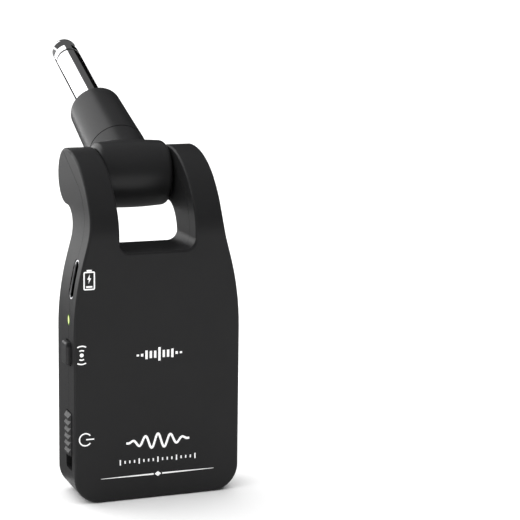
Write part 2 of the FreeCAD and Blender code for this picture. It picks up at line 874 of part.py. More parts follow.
board_wide = box("board_wide", ("-board_half_width", "board_half_width"),
                 (BOARD_FRONT, BOARD_BACK), ("board_low", "board_step"))
board_blank = fuse(
    "board_blank",
    rounded("board_rounded", board_wide, "board_corner",
            lambda point, edge: abs(edge.tangentAt(0).y) > 0.9
            and point.z < number("board_low") + 0.01),
    box("board_narrow", ("-board_top_half_width", "board_top_half_width"),
        (BOARD_FRONT, BOARD_BACK), ("board_step", "board_top")))
board_holes = [
    post(f"board_hole_{index}", across, height, "post_radius + board_post_gap",
         f"{BOARD_FRONT} - 1", f"{BOARD_BACK} + 1")
    for index, (across, height) in enumerate(SCREWS)]
keep(cut("board_piece", board_blank, *board_holes), "main_circuit_board")


def on_board(name, x, z, high):
    """A block soldered to the back of the board."""
    return box(name, x, (BOARD_BACK, f"{BOARD_BACK} + {high}"), z)


def chip(name, label):
    """A package whose five sizes are the dimensions that start with its name."""
    x = (f"{name}_left", f"{name}_left + {name}_wide")
    z = (f"{name}_low", f"{name}_low + {name}_tall")
    keep(on_board(f"{name}_piece", x, z, f"{name}_high"), label)


chip("radio_chip", "radio_chip")
chip("radio_crystal", "radio_crystal")
chip("audio_chip", "audio_chip")
chip("charger_chip", "charger_chip")
chip("inductor", "power_inductor")
keep(on_board("antenna_piece", ("antenna_right - antenna_wide", "antenna_right"),
              ("antenna_low", "antenna_low + antenna_long"), "antenna_high"), "chip_antenna")
CAPACITOR_CORNERS = [
    ("-1.0", "14.0"), ("-1.0", "17.0"), ("2.0", "14.0"), ("2.0", "17.0"), ("7.0", "19.5"),
    ("-9.0", "charger_chip_low + 1.8"),
]
keep(group("capacitor_group", [
    on_board(f"capacitor_{index}", (x, f"{x} + capacitor_wide"), (z, f"{z} + capacitor_tall"),
             "capacitor_high")
    for index, (x, z) in enumerate(CAPACITOR_CORNERS)]), "board_capacitors")
CAN_RIGHT = "can_left + can_wide"
CAN_TOP = "can_low + can_tall"
can_outside = on_board("can_outside", ("can_left", CAN_RIGHT), ("can_low", CAN_TOP), "can_high")
can_inside = on_board("can_inside", ("can_left + can_wall", f"{CAN_RIGHT} - can_wall"),
                      ("can_low + can_wall", f"{CAN_TOP} - can_wall"), "(can_high - can_wall)")
keep(cut("can_piece", can_outside, can_inside), "radio_shield_can")

# ---------------------------------------------------------------- charging port

PORT_END = "port_inset + port_depth"
shell_tube = cut(
    "shell_tube",
    racetrack("shell_outside", "port_long", "port_short", "port_inset", PORT_END),
    racetrack("shell_inside", "port_long - port_wall * 2", "port_short - port_wall * 2",
              "port_inset - 1", f"{PORT_END} - tongue_base"))
keep(in_port(shell_tube), "port_shell")
TONGUE_START = f"({PORT_END} - tongue_base - tongue_length)"
tongue = box("tongue_piece", (TONGUE_START, f"{PORT_END} - tongue_base"),
             ("-tongue_thickness / 2", "tongue_thickness / 2"),
             ("-tongue_long / 2", "tongue_long / 2"))
keep(in_port(group("tongue_group", [tongue])), "port_tongue")
contacts = []
for side, (low, high) in (
        ("front", ("-tongue_thickness / 2 - contact_thickness", "-tongue_thickness / 2")),
        ("back", ("tongue_thickness / 2", "tongue_thickness / 2 + contact_thickness"))):
    for index in range(12):
        middle = f"({index} - 5.5) * contact_pitch"
        contacts.append(box(
            f"contact_{side}_{index}",
            (f"{TONGUE_START} + 0.4", f"{TONGUE_START} + 0.4 + contact_length"), (low, high),
            (f"{middle} - contact_width / 2", f"{middle} + contact_width / 2")))
keep(in_port(group("contact_group", contacts)), "port_contacts")

# ---------------------------------------------------------------- status light

LIGHT_OUT = f"{SIDE} + light_inset"
LIGHT_IN = f"{LIGHT_OUT} + light_length"
keep(rounded_block("light_pipe_piece", "light_wide", "light_long", "light_wide / 2 - 0.05",
                   LIGHT_OUT, LIGHT_IN, SEAM, "light_height"), "light_pipe")
keep(box("lamp_piece", (f"{LIGHT_IN} + lamp_gap", f"{LIGHT_IN} + lamp_gap + lamp_length"),
         (BOARD_BACK, f"{BOARD_BACK} + lamp_high"),
         ("light_height - lamp_wide / 2", "light_height + lamp_wide / 2")), "status_lamp")

# ---------------------------------------------------------------- pairing button

pair_top = rounded_block("pair_top", "pair_wide", "pair_long", "pair_corner",
                         f"{SIDE} - pair_proud", FLANGE_OUT, SEAM, "pair_height")
pair_crowned = rounded("pair_crowned", pair_top, "pair_crown",
                       lambda point, edge: point.x < number(f"{SIDE} - pair_proud") + 0.01)
pair_flange = box("pair_flange", (FLANGE_OUT, FLANGE_IN),
                  (f"{SEAM} - flange_wide / 2", f"{SEAM} + flange_wide / 2"),
                  ("pair_height - pair_long / 2 - flange_lap",
                   "pair_height + pair_long / 2 + flange_lap"))
pair_post = cylinder("pair_post", X_AXIS, "plunger_radius", (FLANGE_IN, SEAM, "pair_height"),
                     minus("-tact_front - plunger_radius", FLANGE_IN))
keep(fuse("pair_piece", pair_crowned, pair_flange, pair_post), "pair_button")
keep(cylinder("plunger_piece", X_AXIS, "plunger_radius",
              ("-tact_front - plunger_radius", SEAM, "pair_height"),
              "plunger_radius + plunger_inside"), "pair_switch_plunger")
tact_block = box("tact_block", ("-tact_front", "-tact_front + tact_length"),
                 (BOARD_BACK, f"{BOARD_BACK} + tact_high"),
                 ("pair_height - tact_wide / 2", "pair_height + tact_wide / 2"))
tact_hole = cylinder("tact_hole", X_AXIS, "plunger_radius + plunger_gap",
                     ("-tact_front - 1", SEAM, "pair_height"),
                     "plunger_inside + pair_travel + plunger_gap + 1")
keep(cut("tact_piece", tact_block, tact_hole), "pair_switch_body")

# ---------------------------------------------------------------- power slider

KNOB_TOP = "(power_slot_high - slider_end_gap)"
KNOB_LOW = f"({KNOB_TOP} - power_knob_long)"
KNOB_MIDDLE = f"({KNOB_TOP} + {KNOB_LOW}) / 2"
knob_base = rounded_block("knob_base", "power_wide", "power_knob_long", "power_corner",
                          f"{SIDE} - power_base_proud", FLANGE_OUT, SEAM, KNOB_MIDDLE)
knob_flange = box("knob_flange", (FLANGE_OUT, FLANGE_IN),
                  (f"{SEAM} - flange_wide / 2", f"{SEAM} + flange_wide / 2"),
                  (f"{KNOB_LOW} - flange_lap", f"{KNOB_TOP} + flange_lap"))
RIB_IN = f"{SIDE} - power_base_proud"
RIB_OUT = f"{SIDE} - power_base_proud - power_rib_height"
RIB_HALF = "(power_wide / 2 - power_rib_inset)"
rib_envelope = prism("rib_envelope", "XY_Plane", [
    (f"{RIB_IN} + power_rib_root", f"-{RIB_HALF}"),
    (f"{RIB_IN} + power_rib_root", RIB_HALF),
    (RIB_IN, RIB_HALF),
    (RIB_OUT, f"{RIB_HALF} - power_rib_bevel"),
    (RIB_OUT, f"-({RIB_HALF} - power_rib_bevel)"),
    (RIB_IN, f"-{RIB_HALF}"),
], "power_knob_long * 2")
place(rib_envelope, 0, SEAM, KNOB_MIDDLE)
ribs = []
for index in range(int(number("power_rib_count"))):
    low = f"({KNOB_LOW} + power_rib_start + {index} * power_rib_pitch)"
    rib = prism(f"rib_{index}", "XZ_Plane", [
        (RIB_IN, low),
        (f"{RIB_IN} + power_rib_root", low),
        (f"{RIB_IN} + power_rib_root", f"{low} + power_rib_pitch"),
        (RIB_IN, f"{low} + power_rib_pitch"),
        (RIB_OUT, f"{low} + power_rib_pitch * 0.45"),
        (RIB_OUT, f"{low} + power_rib_pitch * 0.1"),
    ], "power_wide")
    place(rib, 0, SEAM, 0)
    ribs.append(rib)
rib_rows = common("rib_rows", fuse("rib_bars", *ribs), rib_envelope)
keep(fuse("knob_piece", knob_base, knob_flange, rib_rows), "power_slider")
LEVER_TOP = f"({KNOB_TOP} - lever_under_top)"
LEVER_LOW = f"({LEVER_TOP} - lever_long)"
keep(box("lever_piece", (FLANGE_IN, "-switch_front + lever_inside"),
         (f"{SEAM} - lever_wide / 2", f"{SEAM} + lever_wide / 2"), (LEVER_LOW, LEVER_TOP)),
     "power_switch_lever")
switch_block = box("switch_block", ("-switch_front", "-switch_front + switch_length"),
                   (BOARD_BACK, f"{BOARD_BACK} + tact_high"),
                   (f"{LEVER_LOW} - power_travel - switch_end", f"{LEVER_TOP} + switch_end"))
switch_slot = box("switch_slot",
                  ("-switch_front - 1", "-switch_front + lever_inside + lever_gap"),
                  (f"{SEAM} - lever_wide / 2 - lever_gap", f"{SEAM} + lever_wide / 2 + lever_gap"),
                  (f"{LEVER_LOW} - power_travel - lever_gap", f"{LEVER_TOP} + lever_gap"))
keep(cut("switch_piece", switch_block, switch_slot), "power_switch_body")

# ---------------------------------------------------------------- battery

battery_block = box("battery_block", ("-battery_width / 2", "battery_width / 2"),
                    (BATTERY_FRONT, PAD_FRONT), ("battery_low", "battery_top"))
keep(rounded("battery_piece", battery_block, "battery_corner",
             lambda point, edge: abs(edge.tangentAt(0).z) > 0.9), "battery_cell")
keep(box("pad_piece", ("-battery_width / 2 + pad_inset", "battery_width / 2 - pad_inset"),
         (PAD_FRONT, CAVITY_BACK), ("battery_low + pad_inset", "battery_top - pad_inset")),
     "battery_foam_pad")
CONNECTOR_MIDDLE = "lead_low_across + lead_pitch / 2"
keep(box("connector_piece",
         (f"{CONNECTOR_MIDDLE} - connector_width / 2", f"{CONNECTOR_MIDDLE} + connector_width / 2"),
         (BOARD_BACK, f"{BOARD_BACK} + connector_high"),
         ("battery_top - connector_long", "battery_top")), "battery_connector")
LEAD_BACK = f"({BATTERY_FRONT} + {PAD_FRONT}) / 2"
LEAD_FRONT = f"{BOARD_BACK} + connector_high / 2"
for name, across in (("battery_lead_black", "lead_low_across"),
                     ("battery_lead_red", "lead_low_across + lead_pitch")):
    keep(lead(f"{name}_tube", [
        (across, LEAD_BACK, "battery_top"),
        (across, LEAD_BACK, "battery_top + lead_rise"),
        (across, LEAD_FRONT, "battery_top + lead_rise"),
        (across, LEAD_FRONT, "battery_top"),
    ], "lead_radius"), name)
keep(lead("signal_tube", SIGNAL_ROUTE, "signal_radius"), "signal_lead")

# ---------------------------------------------------------------- hinge, fixed side

for name, side in (("left", -1), ("right", 1)):
    inner = "window_width / 2"
    start = f"-({BORE_END})" if side < 0 else inner
    length = f"{BORE_END} - {inner}"
    sleeve = cylinder(f"bush_{name}_outside", X_AXIS, BUSH_RADIUS,
                      (start, "hinge_back", "hinge_height"), length)
    hole = cylinder(f"bush_{name}_hole", X_AXIS, "pin_radius + bush_clearance",
                    (f"{start} - 1", "hinge_back", "hinge_height"), f"{length} + 2")
    keep(cut(f"bush_{name}_piece", sleeve, hole), f"hinge_bush_{name}")
    gap_start = f"{inner} - washer_gap - washer_thickness"
    washer_start = gap_start if side > 0 else f"-({inner} - washer_gap)"
    disc = cylinder(f"washer_{name}_outside", X_AXIS, "washer_radius",
                    (washer_start, "hinge_back", "hinge_height"), "washer_thickness")
    eye = cylinder(f"washer_{name}_hole", X_AXIS, "pin_radius + washer_gap",
                   (f"{washer_start} - 1", "hinge_back", "hinge_height"), "washer_thickness + 2")
    keep(cut(f"washer_{name}_piece", disc, eye), f"friction_washer_{name}")

# ---------------------------------------------------------------- plug arm

KNUCKLE_SIDE = "knuckle_radius - knuckle_crown"
barrel_shape = turned("knuckle_barrel", [
    (f"-({KNUCKLE_END})", "0"),
    (KNUCKLE_END, "0"),
    (KNUCKLE_END, f"{KNUCKLE_SIDE} - knuckle_edge", "knuckle_edge", 1),
    (f"{KNUCKLE_END} - knuckle_edge", KNUCKLE_SIDE,
     f"(({KNUCKLE_END} - knuckle_edge) ^ 2 + knuckle_crown ^ 2) / (2 * knuckle_crown)", 1),
    (f"-({KNUCKLE_END} - knuckle_edge)", KNUCKLE_SIDE, "knuckle_edge", 1),
    (f"-({KNUCKLE_END})", f"{KNUCKLE_SIDE} - knuckle_edge"),
], axis="H_Axis")
collar = cylinder("knuckle_collar", Z_AXIS, "collar_radius", ("0", "0", "0"), "collar_end")
tee = fuse("knuckle_tee", barrel_shape, collar)
blended_tee = rounded("knuckle_blended", tee, "collar_blend",
                      lambda point, edge: abs(math.hypot(point.x, point.y)
                                              - number("collar_radius")) < 0.05
                      and 1 < point.z < number("collar_end") - 0.1)
spigot = cylinder("knuckle_spigot", Z_AXIS, "barrel_bore_radius", ("0", "0", "collar_end"),
                  "spigot_length")
cavity_across = cylinder("knuckle_hollow", X_AXIS, "knuckle_cavity_radius",
                         (f"-({PIN_START})", "0", "0"), f"({PIN_START}) * 2")
pin_bore = cylinder("knuckle_pin_bore", X_AXIS, "pin_radius", (f"-({KNUCKLE_END}) - 1", "0", "0"),
                    f"({KNUCKLE_END}) * 2 + 2")
cavity_along = cylinder("knuckle_throat", Z_AXIS, "barrel_bore_radius - spigot_wall",
                        ("0", "0", "0"), "collar_end + spigot_length + 1")
keep(on_arm(cut("knuckle_piece", fuse("knuckle_solid", blended_tee, spigot),
                cavity_across, pin_bore, cavity_along)), "hinge_knuckle")

for name, side in (("left", -1), ("right", 1)):
    inner_face = f"({PIN_START} - pin_flange_thickness)"
    start = inner_face if side > 0 else "-pin_end"
    shank = cylinder(f"pin_{name}_shank", X_AXIS, "pin_radius", (start, "0", "0"),
                     f"pin_end - {inner_face}")
    flange_start = inner_face if side > 0 else f"-({PIN_START})"
    flange = cylinder(f"pin_{name}_flange", X_AXIS, "pin_flange_radius", (flange_start, "0", "0"),
                      "pin_flange_thickness")
    bore = cylinder(f"pin_{name}_bore", X_AXIS, "pin_bore_radius", ("-pin_end - 1", "0", "0"),
                    "pin_end * 2 + 2")
    keep(on_arm(cut(f"pin_{name}_piece", fuse(f"pin_{name}_blank", shank, flange), bore)),
         f"hinge_pin_{name}")

BARREL_START = "collar_end + seam_line"
FRONT_WALL = "(barrel_end - barrel_front_wall)"
keep(on_arm(turned("barrel_piece", [
    ("barrel_bore_radius", "collar_end"),
    ("collar_radius - seam_cut", "collar_end"),
    ("collar_radius - seam_cut", BARREL_START),
    ("collar_radius", BARREL_START),
    ("barrel_nose_radius", "barrel_rim - rim_round", "rim_round", 1),
    ("barrel_nose_radius - rim_round", "barrel_rim"),
    ("nose_top_radius", "barrel_end"),
    ("sleeve_neck_radius", "barrel_end"),
    ("sleeve_neck_radius", FRONT_WALL),
    ("barrel_bore_radius", FRONT_WALL),
])), "barrel_shell")

SLEEVE_END = "(barrel_end + sleeve_length)"
FLANGE_BACK = f"({FRONT_WALL} - sleeve_flange)"
keep(on_arm(turned("sleeve_piece", [
    ("sleeve_bore_radius", FLANGE_BACK),
    ("sleeve_flange_radius", FLANGE_BACK),
    ("sleeve_flange_radius", FRONT_WALL),
    ("sleeve_neck_radius", FRONT_WALL),
    ("sleeve_neck_radius", "barrel_end"),
    ("sleeve_radius", "barrel_end"),
    ("sleeve_radius", SLEEVE_END),
    ("sleeve_bore_radius", SLEEVE_END),
])), "plug_sleeve")
INSULATOR_BACK = f"({FLANGE_BACK} - insulator_flange)"
keep(on_arm(turned("insulator_piece", [
    ("rod_radius", INSULATOR_BACK),
    ("insulator_flange_radius", INSULATOR_BACK),
    ("insulator_flange_radius", FLANGE_BACK),
    ("sleeve_bore_radius", FLANGE_BACK),
    ("sleeve_bore_radius", SLEEVE_END),
    ("rod_radius", SLEEVE_END),
])), "inner_insulator")
RING_END = f"({SLEEVE_END} + ring_length)"
keep(on_arm(turned("ring_piece", [
    ("rod_radius", SLEEVE_END),
    ("sleeve_radius - ring_under", SLEEVE_END),
    ("sleeve_radius - ring_under", RING_END),
    ("rod_radius", RING_END),
])), "insulator_ring")
LUG_BACK = f"({INSULATOR_BACK} - lug_thickness)"
RIVET_BACK = f"({LUG_BACK} - rivet_height)"
TIP_LAND = f"({RING_END} + tip_land)"
TIP_GROOVE = f"({TIP_LAND} + tip_slope)"
TIP_HEAD = f"({TIP_GROOVE} + tip_flare)"
TIP_END = f"({TIP_HEAD} + tip_nose)"
keep(on_arm(turned("tip_piece", [
    ("0", RIVET_BACK),
    ("rivet_radius", RIVET_BACK),
    ("rivet_radius", LUG_BACK),
    ("rod_radius", LUG_BACK),
    ("rod_radius", RING_END),
    ("sleeve_radius", RING_END),
    ("sleeve_radius", TIP_LAND),
    ("tip_groove_radius", TIP_GROOVE),
    ("tip_head_radius", TIP_HEAD, "tip_head_round", 1),
    ("tip_nose_radius", TIP_END),
    ("0", TIP_END),
])), "plug_tip")
keep(on_arm(turned("tip_lug_piece", [
    ("rod_radius", LUG_BACK),
    ("insulator_flange_radius", LUG_BACK),
    ("insulator_flange_radius", INSULATOR_BACK),
    ("rod_radius", INSULATOR_BACK),
])), "tip_solder_lug")
keep(on_arm(turned("ground_lug_piece", [
    ("insulator_flange_radius", f"{FLANGE_BACK} - lug_thickness"),
    ("sleeve_flange_radius", f"{FLANGE_BACK} - lug_thickness"),
    ("sleeve_flange_radius", FLANGE_BACK),
    ("insulator_flange_radius", FLANGE_BACK),
])), "ground_solder_lug")
keep(on_arm(lead("plug_lead_tube", [
    ("-signal_start + lead_join_gap", "0", "0"),
    ("0", "0", "0"),
    ("0", "0", RIVET_BACK),
], "signal_radius")), "plug_lead")

# ---------------------------------------------------------------- check and write

doc.recompute()
for item in doc.Objects:
    if "Invalid" in item.State or "Error" in item.State:
        raise RuntimeError(f"{item.Label} couldn't be rebuilt: {item.State}")
os.makedirs("parts", exist_ok=True)
for piece in sub_parts:
    shape = piece.Shape
    if shape.isNull() or not shape.isValid():
        raise RuntimeError(f"{piece.Label} has no valid shape")
    shape.exportStep(f"parts/{piece.Label}.step")
    print(f"{piece.Label}: {len(shape.Solids)} solid(s), {shape.Volume:.1f} mm3")
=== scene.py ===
"""Looks of a clip-on wireless guitar transmitter, laid out as a Blender add-on and run as a script.

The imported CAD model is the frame. The operators below give its nodes their finishes, add the
printed marks on the front cover, and set up a small studio.
"""

import json
import math

import bmesh
import bpy
import numpy as np
from mathutils import Matrix, Vector


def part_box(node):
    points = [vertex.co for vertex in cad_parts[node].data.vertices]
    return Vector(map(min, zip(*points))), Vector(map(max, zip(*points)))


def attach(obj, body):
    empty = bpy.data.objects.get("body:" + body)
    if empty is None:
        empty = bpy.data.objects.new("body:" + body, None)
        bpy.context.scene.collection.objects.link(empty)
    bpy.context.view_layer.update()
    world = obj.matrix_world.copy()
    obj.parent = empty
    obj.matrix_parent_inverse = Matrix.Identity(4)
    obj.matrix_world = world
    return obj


bl_info = {
    "name": "Guitar Transmitter Looks",
    "version": (1, 0, 0),
    "blender": (4, 5, 0),
    "location": "View3D > Sidebar > Transmitter",
    "description": "Finishes, printed marks and studio for a wireless guitar transmitter",
    "category": "Object",
}

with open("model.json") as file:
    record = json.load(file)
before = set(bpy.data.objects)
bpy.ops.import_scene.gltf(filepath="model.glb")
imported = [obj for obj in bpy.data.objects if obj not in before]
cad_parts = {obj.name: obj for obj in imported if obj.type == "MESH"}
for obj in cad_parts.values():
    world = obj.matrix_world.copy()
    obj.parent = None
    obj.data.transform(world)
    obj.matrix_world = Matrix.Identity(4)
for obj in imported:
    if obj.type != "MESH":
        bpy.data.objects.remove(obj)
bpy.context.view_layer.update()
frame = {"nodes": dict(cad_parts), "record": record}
NODES = frame["nodes"]
MOUNTS = {mount["name"]: mount for mount in frame["record"]["mounts"]}
PLUG_AXIS = np.array(MOUNTS["plug_pin"]["axis"])
FRONT_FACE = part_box("front_cover")[0].y
SENSOR_WIDTH = 36
ARC_STEPS = 48
CORNER_STEPS = 8
WAVE_STEPS = 361
BROAD_GRAIN = 40


# ------------------------------------------------------------------ settings


class StudioSettings(bpy.types.PropertyGroup):
    camera_place: bpy.props.FloatVectorProperty(
        name="Camera place", description="Where the camera stands", size=3,
        default=(-0.12336, -0.38675, 0.13138), subtype="TRANSLATION", unit="LENGTH", precision=5)
    camera_turn: bpy.props.FloatProperty(
        name="Camera turn", description="Angle to the right of straight ahead",
        default=math.radians(21.243), subtype="ANGLE")
    camera_drop: bpy.props.FloatProperty(
        name="Camera drop", description="Angle below the horizon",
        default=math.radians(10.789), subtype="ANGLE")
    camera_roll: bpy.props.FloatProperty(
        name="Camera roll", description="Lean of the horizon",
        default=math.radians(-0.765), subtype="ANGLE")
    lens: bpy.props.FloatProperty(
        name="Lens", description="Focal length on a 36 mm sensor", default=126.15)
    floor_colour: bpy.props.FloatVectorProperty(
        name="Floor", description="Colour of the studio floor", size=3,
        default=(0.86, 0.86, 0.86), subtype="COLOR")
    overhead: bpy.props.FloatProperty(
        name="Overhead light", description="Strength of the soft light above", default=4.4)
    window: bpy.props.FloatProperty(
        name="Side light", description="Power of the large soft light behind on the left",
        default=9.5, unit="POWER")
    surround: bpy.props.FloatProperty(
        name="Surround", description="Brightness of the room away from the lights", default=0.11)
    flag_grey: bpy.props.FloatProperty(
        name="Flag", description="Grey of the card behind the plug", default=0.004, precision=4)
    ground_grey: bpy.props.FloatProperty(
        name="Ground flag", description="Grey of the card on the floor behind", default=0.17)


class CaseSettings(bpy.types.PropertyGroup):
    colour: bpy.props.FloatVectorProperty(
        name="Case colour", description="Colour of the moulded case", size=3,
        default=(0.0125, 0.0125, 0.0130), subtype="COLOR")
    pale: bpy.props.FloatVectorProperty(
        name="Case highs", description="Colour on the high spots of the texture", size=3,
        default=(0.0155, 0.0155, 0.0160), subtype="COLOR")
    roughness: bpy.props.FloatProperty(
        name="Case roughness", description="How dull the moulded case is",
        default=0.42, min=0, max=1, subtype="FACTOR")
    grain: bpy.props.FloatProperty(
        name="Grain", description="Spacing of the moulded texture",
        default=0.00022, unit="LENGTH", precision=5)
    grain_depth: bpy.props.FloatProperty(
        name="Grain depth", description="Depth of the moulded texture",
        default=0.0000035, unit="LENGTH", precision=6)


class PrintSettings(bpy.types.PropertyGroup):
    ink: bpy.props.FloatVectorProperty(
        name="Ink", description="Colour of the printed marks", size=3,
        default=(0.87, 0.87, 0.87), subtype="COLOR")
    # painted light: strength of the glow painted onto the white ink, which is no lamp
    lamp_glow_and_painted_glow: bpy.props.FloatProperty(
        name="Ink glow", description="How much the white ink gleams of itself", default=0.28)
    proud: bpy.props.FloatProperty(
        name="Ink height", description="How far the ink stands on the case",
        default=0.00002, unit="LENGTH", precision=6)
    stroke: bpy.props.FloatProperty(
        name="Stroke", description="Width of the icons' lines",
        default=0.00030, unit="LENGTH", precision=5)


class ArmSettings(bpy.types.PropertyGroup):
    colour: bpy.props.FloatVectorProperty(
        name="Arm colour", description="Colour of the hinge and barrel", size=3,
        default=(0.0150, 0.0150, 0.0155), subtype="COLOR")
    roughness: bpy.props.FloatProperty(
        name="Arm roughness", description="How dull the hinge and barrel are",
        default=0.36, min=0, max=1, subtype="FACTOR")
    metal: bpy.props.FloatVectorProperty(
        name="Plug metal", description="Colour of the plug's plating", size=3,
        default=(0.86, 0.86, 0.87), subtype="COLOR")


# ------------------------------------------------------------------ surfaces


def grid_faces(rows, columns, around_rows=False, around_columns=False):
    """Quads of a grid of points: quad (r, c) joins points r, r+1 and c, c+1, wrapping where asked."""
    r, c = np.meshgrid(np.arange(rows if around_rows else rows - 1),
                       np.arange(columns if around_columns else columns - 1), indexing="ij")
    below, after = (r + 1) % rows, (c + 1) % columns
    quads = np.stack([r * columns + c, r * columns + after,
                      below * columns + after, below * columns + c], axis=-1)
    return quads.reshape(-1, 4)


def piece_from(name, points, faces):
    """A mesh object at the origin from points and faces, its faces turned outwards."""
    mesh = bpy.data.meshes.new(name)
    mesh.from_pydata(np.asarray(points).tolist(), [], [list(face) for face in faces])
    shape = bmesh.new()
    shape.from_mesh(mesh)
    bmesh.ops.remove_doubles(shape, verts=shape.verts, dist=1e-8)
    bmesh.ops.recalc_face_normals(shape, faces=shape.faces)
    shape.to_mesh(mesh)
    shape.free()
    piece = bpy.data.objects.new(name, mesh)
    bpy.context.scene.collection.objects.link(piece)
    return piece


def ink_ribbon(first, second, around=False):
    """Points and faces of a thin slab of ink between two edge curves on the case's front.

    Both curves are (x, z) points. The slab stands proud of the front face and ends just in it;
    an open ribbon has a face at each end.
    """
    settings = bpy.context.scene.transmitter_print
    out, back = FRONT_FACE - settings.proud, FRONT_FACE + settings.proud
    count = len(first)
    loop = np.empty((count, 4, 3))
    for place, (edge, y) in enumerate(((first, out), (second, out), (second, back), (first, back))):
        loop[:, place, 0] = edge[:, 0]
        loop[:, place, 1] = y
        loop[:, place, 2] = edge[:, 1]
    faces = grid_faces(count, 4, around_rows=around, around_columns=True).tolist()
    if not around:
        faces += [[0, 1, 2, 3], [count * 4 - 1, count * 4 - 2, count * 4 - 3, count * 4 - 4]]
    return loop.reshape(-1, 3), faces


def stroke_ribbon(line, width, around=False):
    """Ink along a line: its edges lie half the width to each side, square to the line's run."""
    run = np.gradient(line, axis=0)
    if around:
        run = np.roll(line, -1, axis=0) - np.roll(line, 1, axis=0)
    run /= np.linalg.norm(run, axis=1)[:, None]
    across = np.stack([-run[:, 1], run[:, 0]], axis=1)
    half = (np.asarray(width) * np.ones(len(line)) / 2)[:, None]
    return ink_ribbon(line + across * half, line - across * half, around)


def ink_bar(left, right, low, high):
    """A rectangle of ink."""
    first = np.array([[left, low], [left, high]])
    second = np.array([[right, low], [right, high]])
    return ink_ribbon(first, second)


def arc_line(centre, radius, start, end, steps=ARC_STEPS):
    """Points centre + radius * (cos a, sin a) for angles from start to end."""
    angles = np.linspace(start, end, steps)
    return np.asarray(centre) + radius * np.stack([np.cos(angles), np.sin(angles)], axis=1)


def printed_mark(name, parts):
    """One piece made of several slabs of ink, on the front cover."""
    points, faces, used = [], [], 0
    for part_points, part_faces in parts:
        points.append(part_points)
        faces += [[index + used for index in face] for face in part_faces]
        used += len(part_points)
    mark = piece_from(name, np.concatenate(points), faces)
    mark.data.materials.append(ink_with_painted_glow())
    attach(mark, "case")
    return mark


# ------------------------------------------------------------------ finishes


def shader(name):
    """A new material with its Principled shader, or the one that was already made."""
    found = bpy.data.materials.get(name)
    if found is not None:
        return found, None, None
    material = bpy.data.materials.new(name)
    material.use_nodes = True
    tree = material.node_tree
    tree.nodes.clear()
    output = tree.nodes.new("ShaderNodeOutputMaterial")
    surface = tree.nodes.new("ShaderNodeBsdfPrincipled")
    tree.links.new(surface.outputs["BSDF"], output.inputs["Surface"])
    return material, tree, surface


def add_node(tree, kind, **inputs):
    """A node with its input sockets set, underscores standing for spaces."""
    node = tree.nodes.new(kind)
    for socket, value in inputs.items():
        node.inputs[socket.replace("_", " ")].default_value = value
    return node


def object_places(tree, turn=(0, 0, 0)):
    """Object coordinates, turned."""
    places = tree.nodes.new("ShaderNodeTexCoord")
    mapping = add_node(tree, "ShaderNodeMapping", Rotation=turn)
    tree.links.new(places.outputs["Object"], mapping.inputs["Vector"])
    return mapping.outputs["Vector"]


def noise(tree, places, spacing, detail=3.0):
    """Noise whose blobs are about spacing metres across."""
    node = add_node(tree, "ShaderNodeTexNoise", Scale=1 / spacing, Detail=detail)
    tree.links.new(places, node.inputs["Vector"])
    return node.outputs["Fac"]


def ramp(tree, value, low, high, first, second):
    """The value's stretch from low to high, carried over to the stretch from first to second."""
    node = add_node(tree, "ShaderNodeMapRange", From_Min=low, From_Max=high, To_Min=first,
                    To_Max=second)
    tree.links.new(value, node.inputs["Value"])
    return node.outputs["Result"]


def colour_between(tree, value, first, second):
    """Two colours mixed by the value."""
    node = tree.nodes.new("ShaderNodeMix")
    node.data_type = "RGBA"
    node.inputs["A"].default_value = (*first, 1)
    node.inputs["B"].default_value = (*second, 1)
    tree.links.new(value, node.inputs["Factor"])
    return node.outputs["Result"]


def bump(tree, surface, height, depth):
    """Tilt the surface's normals by a height that reaches depth metres."""
    node = add_node(tree, "ShaderNodeBump", Distance=depth)
    tree.links.new(height, node.inputs["Height"])
    tree.links.new(node.outputs["Normal"], surface.inputs["Normal"])


def grained(name, low, high, roughness, grain, depth, metallic=0.0, gloss=0.5):
    """A finish with a fine grain: colour, roughness and height all follow the same noise."""
    material, tree, surface = shader(name)
    if tree is None:
        return material
    places = object_places(tree)
    fine = noise(tree, places, grain)
    broad = noise(tree, places, grain * BROAD_GRAIN, detail=2.0)
    tree.links.new(colour_between(tree, broad, low, high), surface.inputs["Base Color"])
    spread = ramp(tree, fine, 0.3, 0.7, roughness * 0.92, min(roughness * 1.08, 1))
    tree.links.new(spread, surface.inputs["Roughness"])
    bump(tree, surface, fine, depth)
    surface.inputs["Metallic"].default_value = metallic
    surface.inputs["Specular IOR Level"].default_value = gloss
    return material


def case_finish():
    """Satin black moulding with a fine spark texture."""
    settings = bpy.context.scene.transmitter_case
    return grained("case_satin", settings.colour, settings.pale, settings.roughness,
                   settings.grain, settings.grain_depth, gloss=0.18)


def arm_finish():
    """Smoother satin black of the hinge and barrel."""
    settings = bpy.context.scene.transmitter_arm
    pale = tuple(channel * 1.2 for channel in settings.colour)
    return grained("arm_satin", settings.colour, pale, settings.roughness,
                   0.00035, 0.0000015, gloss=0.25)


def ink_with_painted_glow():
    """Pad-printed white ink, slightly uneven, with a painted glow: an emission that brightens the ink
    though ink is no lamp.
    """
    settings = bpy.context.scene.transmitter_print
    thin = tuple(channel * 0.93 for channel in settings.ink)
    material = grained("print_ink_with_painted_glow", thin, settings.ink, 0.55, 0.0002, 0.000001, gloss=0.3)
    surface = material.node_tree.nodes["Principled BSDF"]
    # painted light: the white ink is given an emission of its own, though ink is no lamp
    surface.inputs["Emission Color"].default_value = (1, 1, 1, 1)
    surface.inputs["Emission Strength"].default_value = settings.lamp_glow_and_painted_glow
    return material


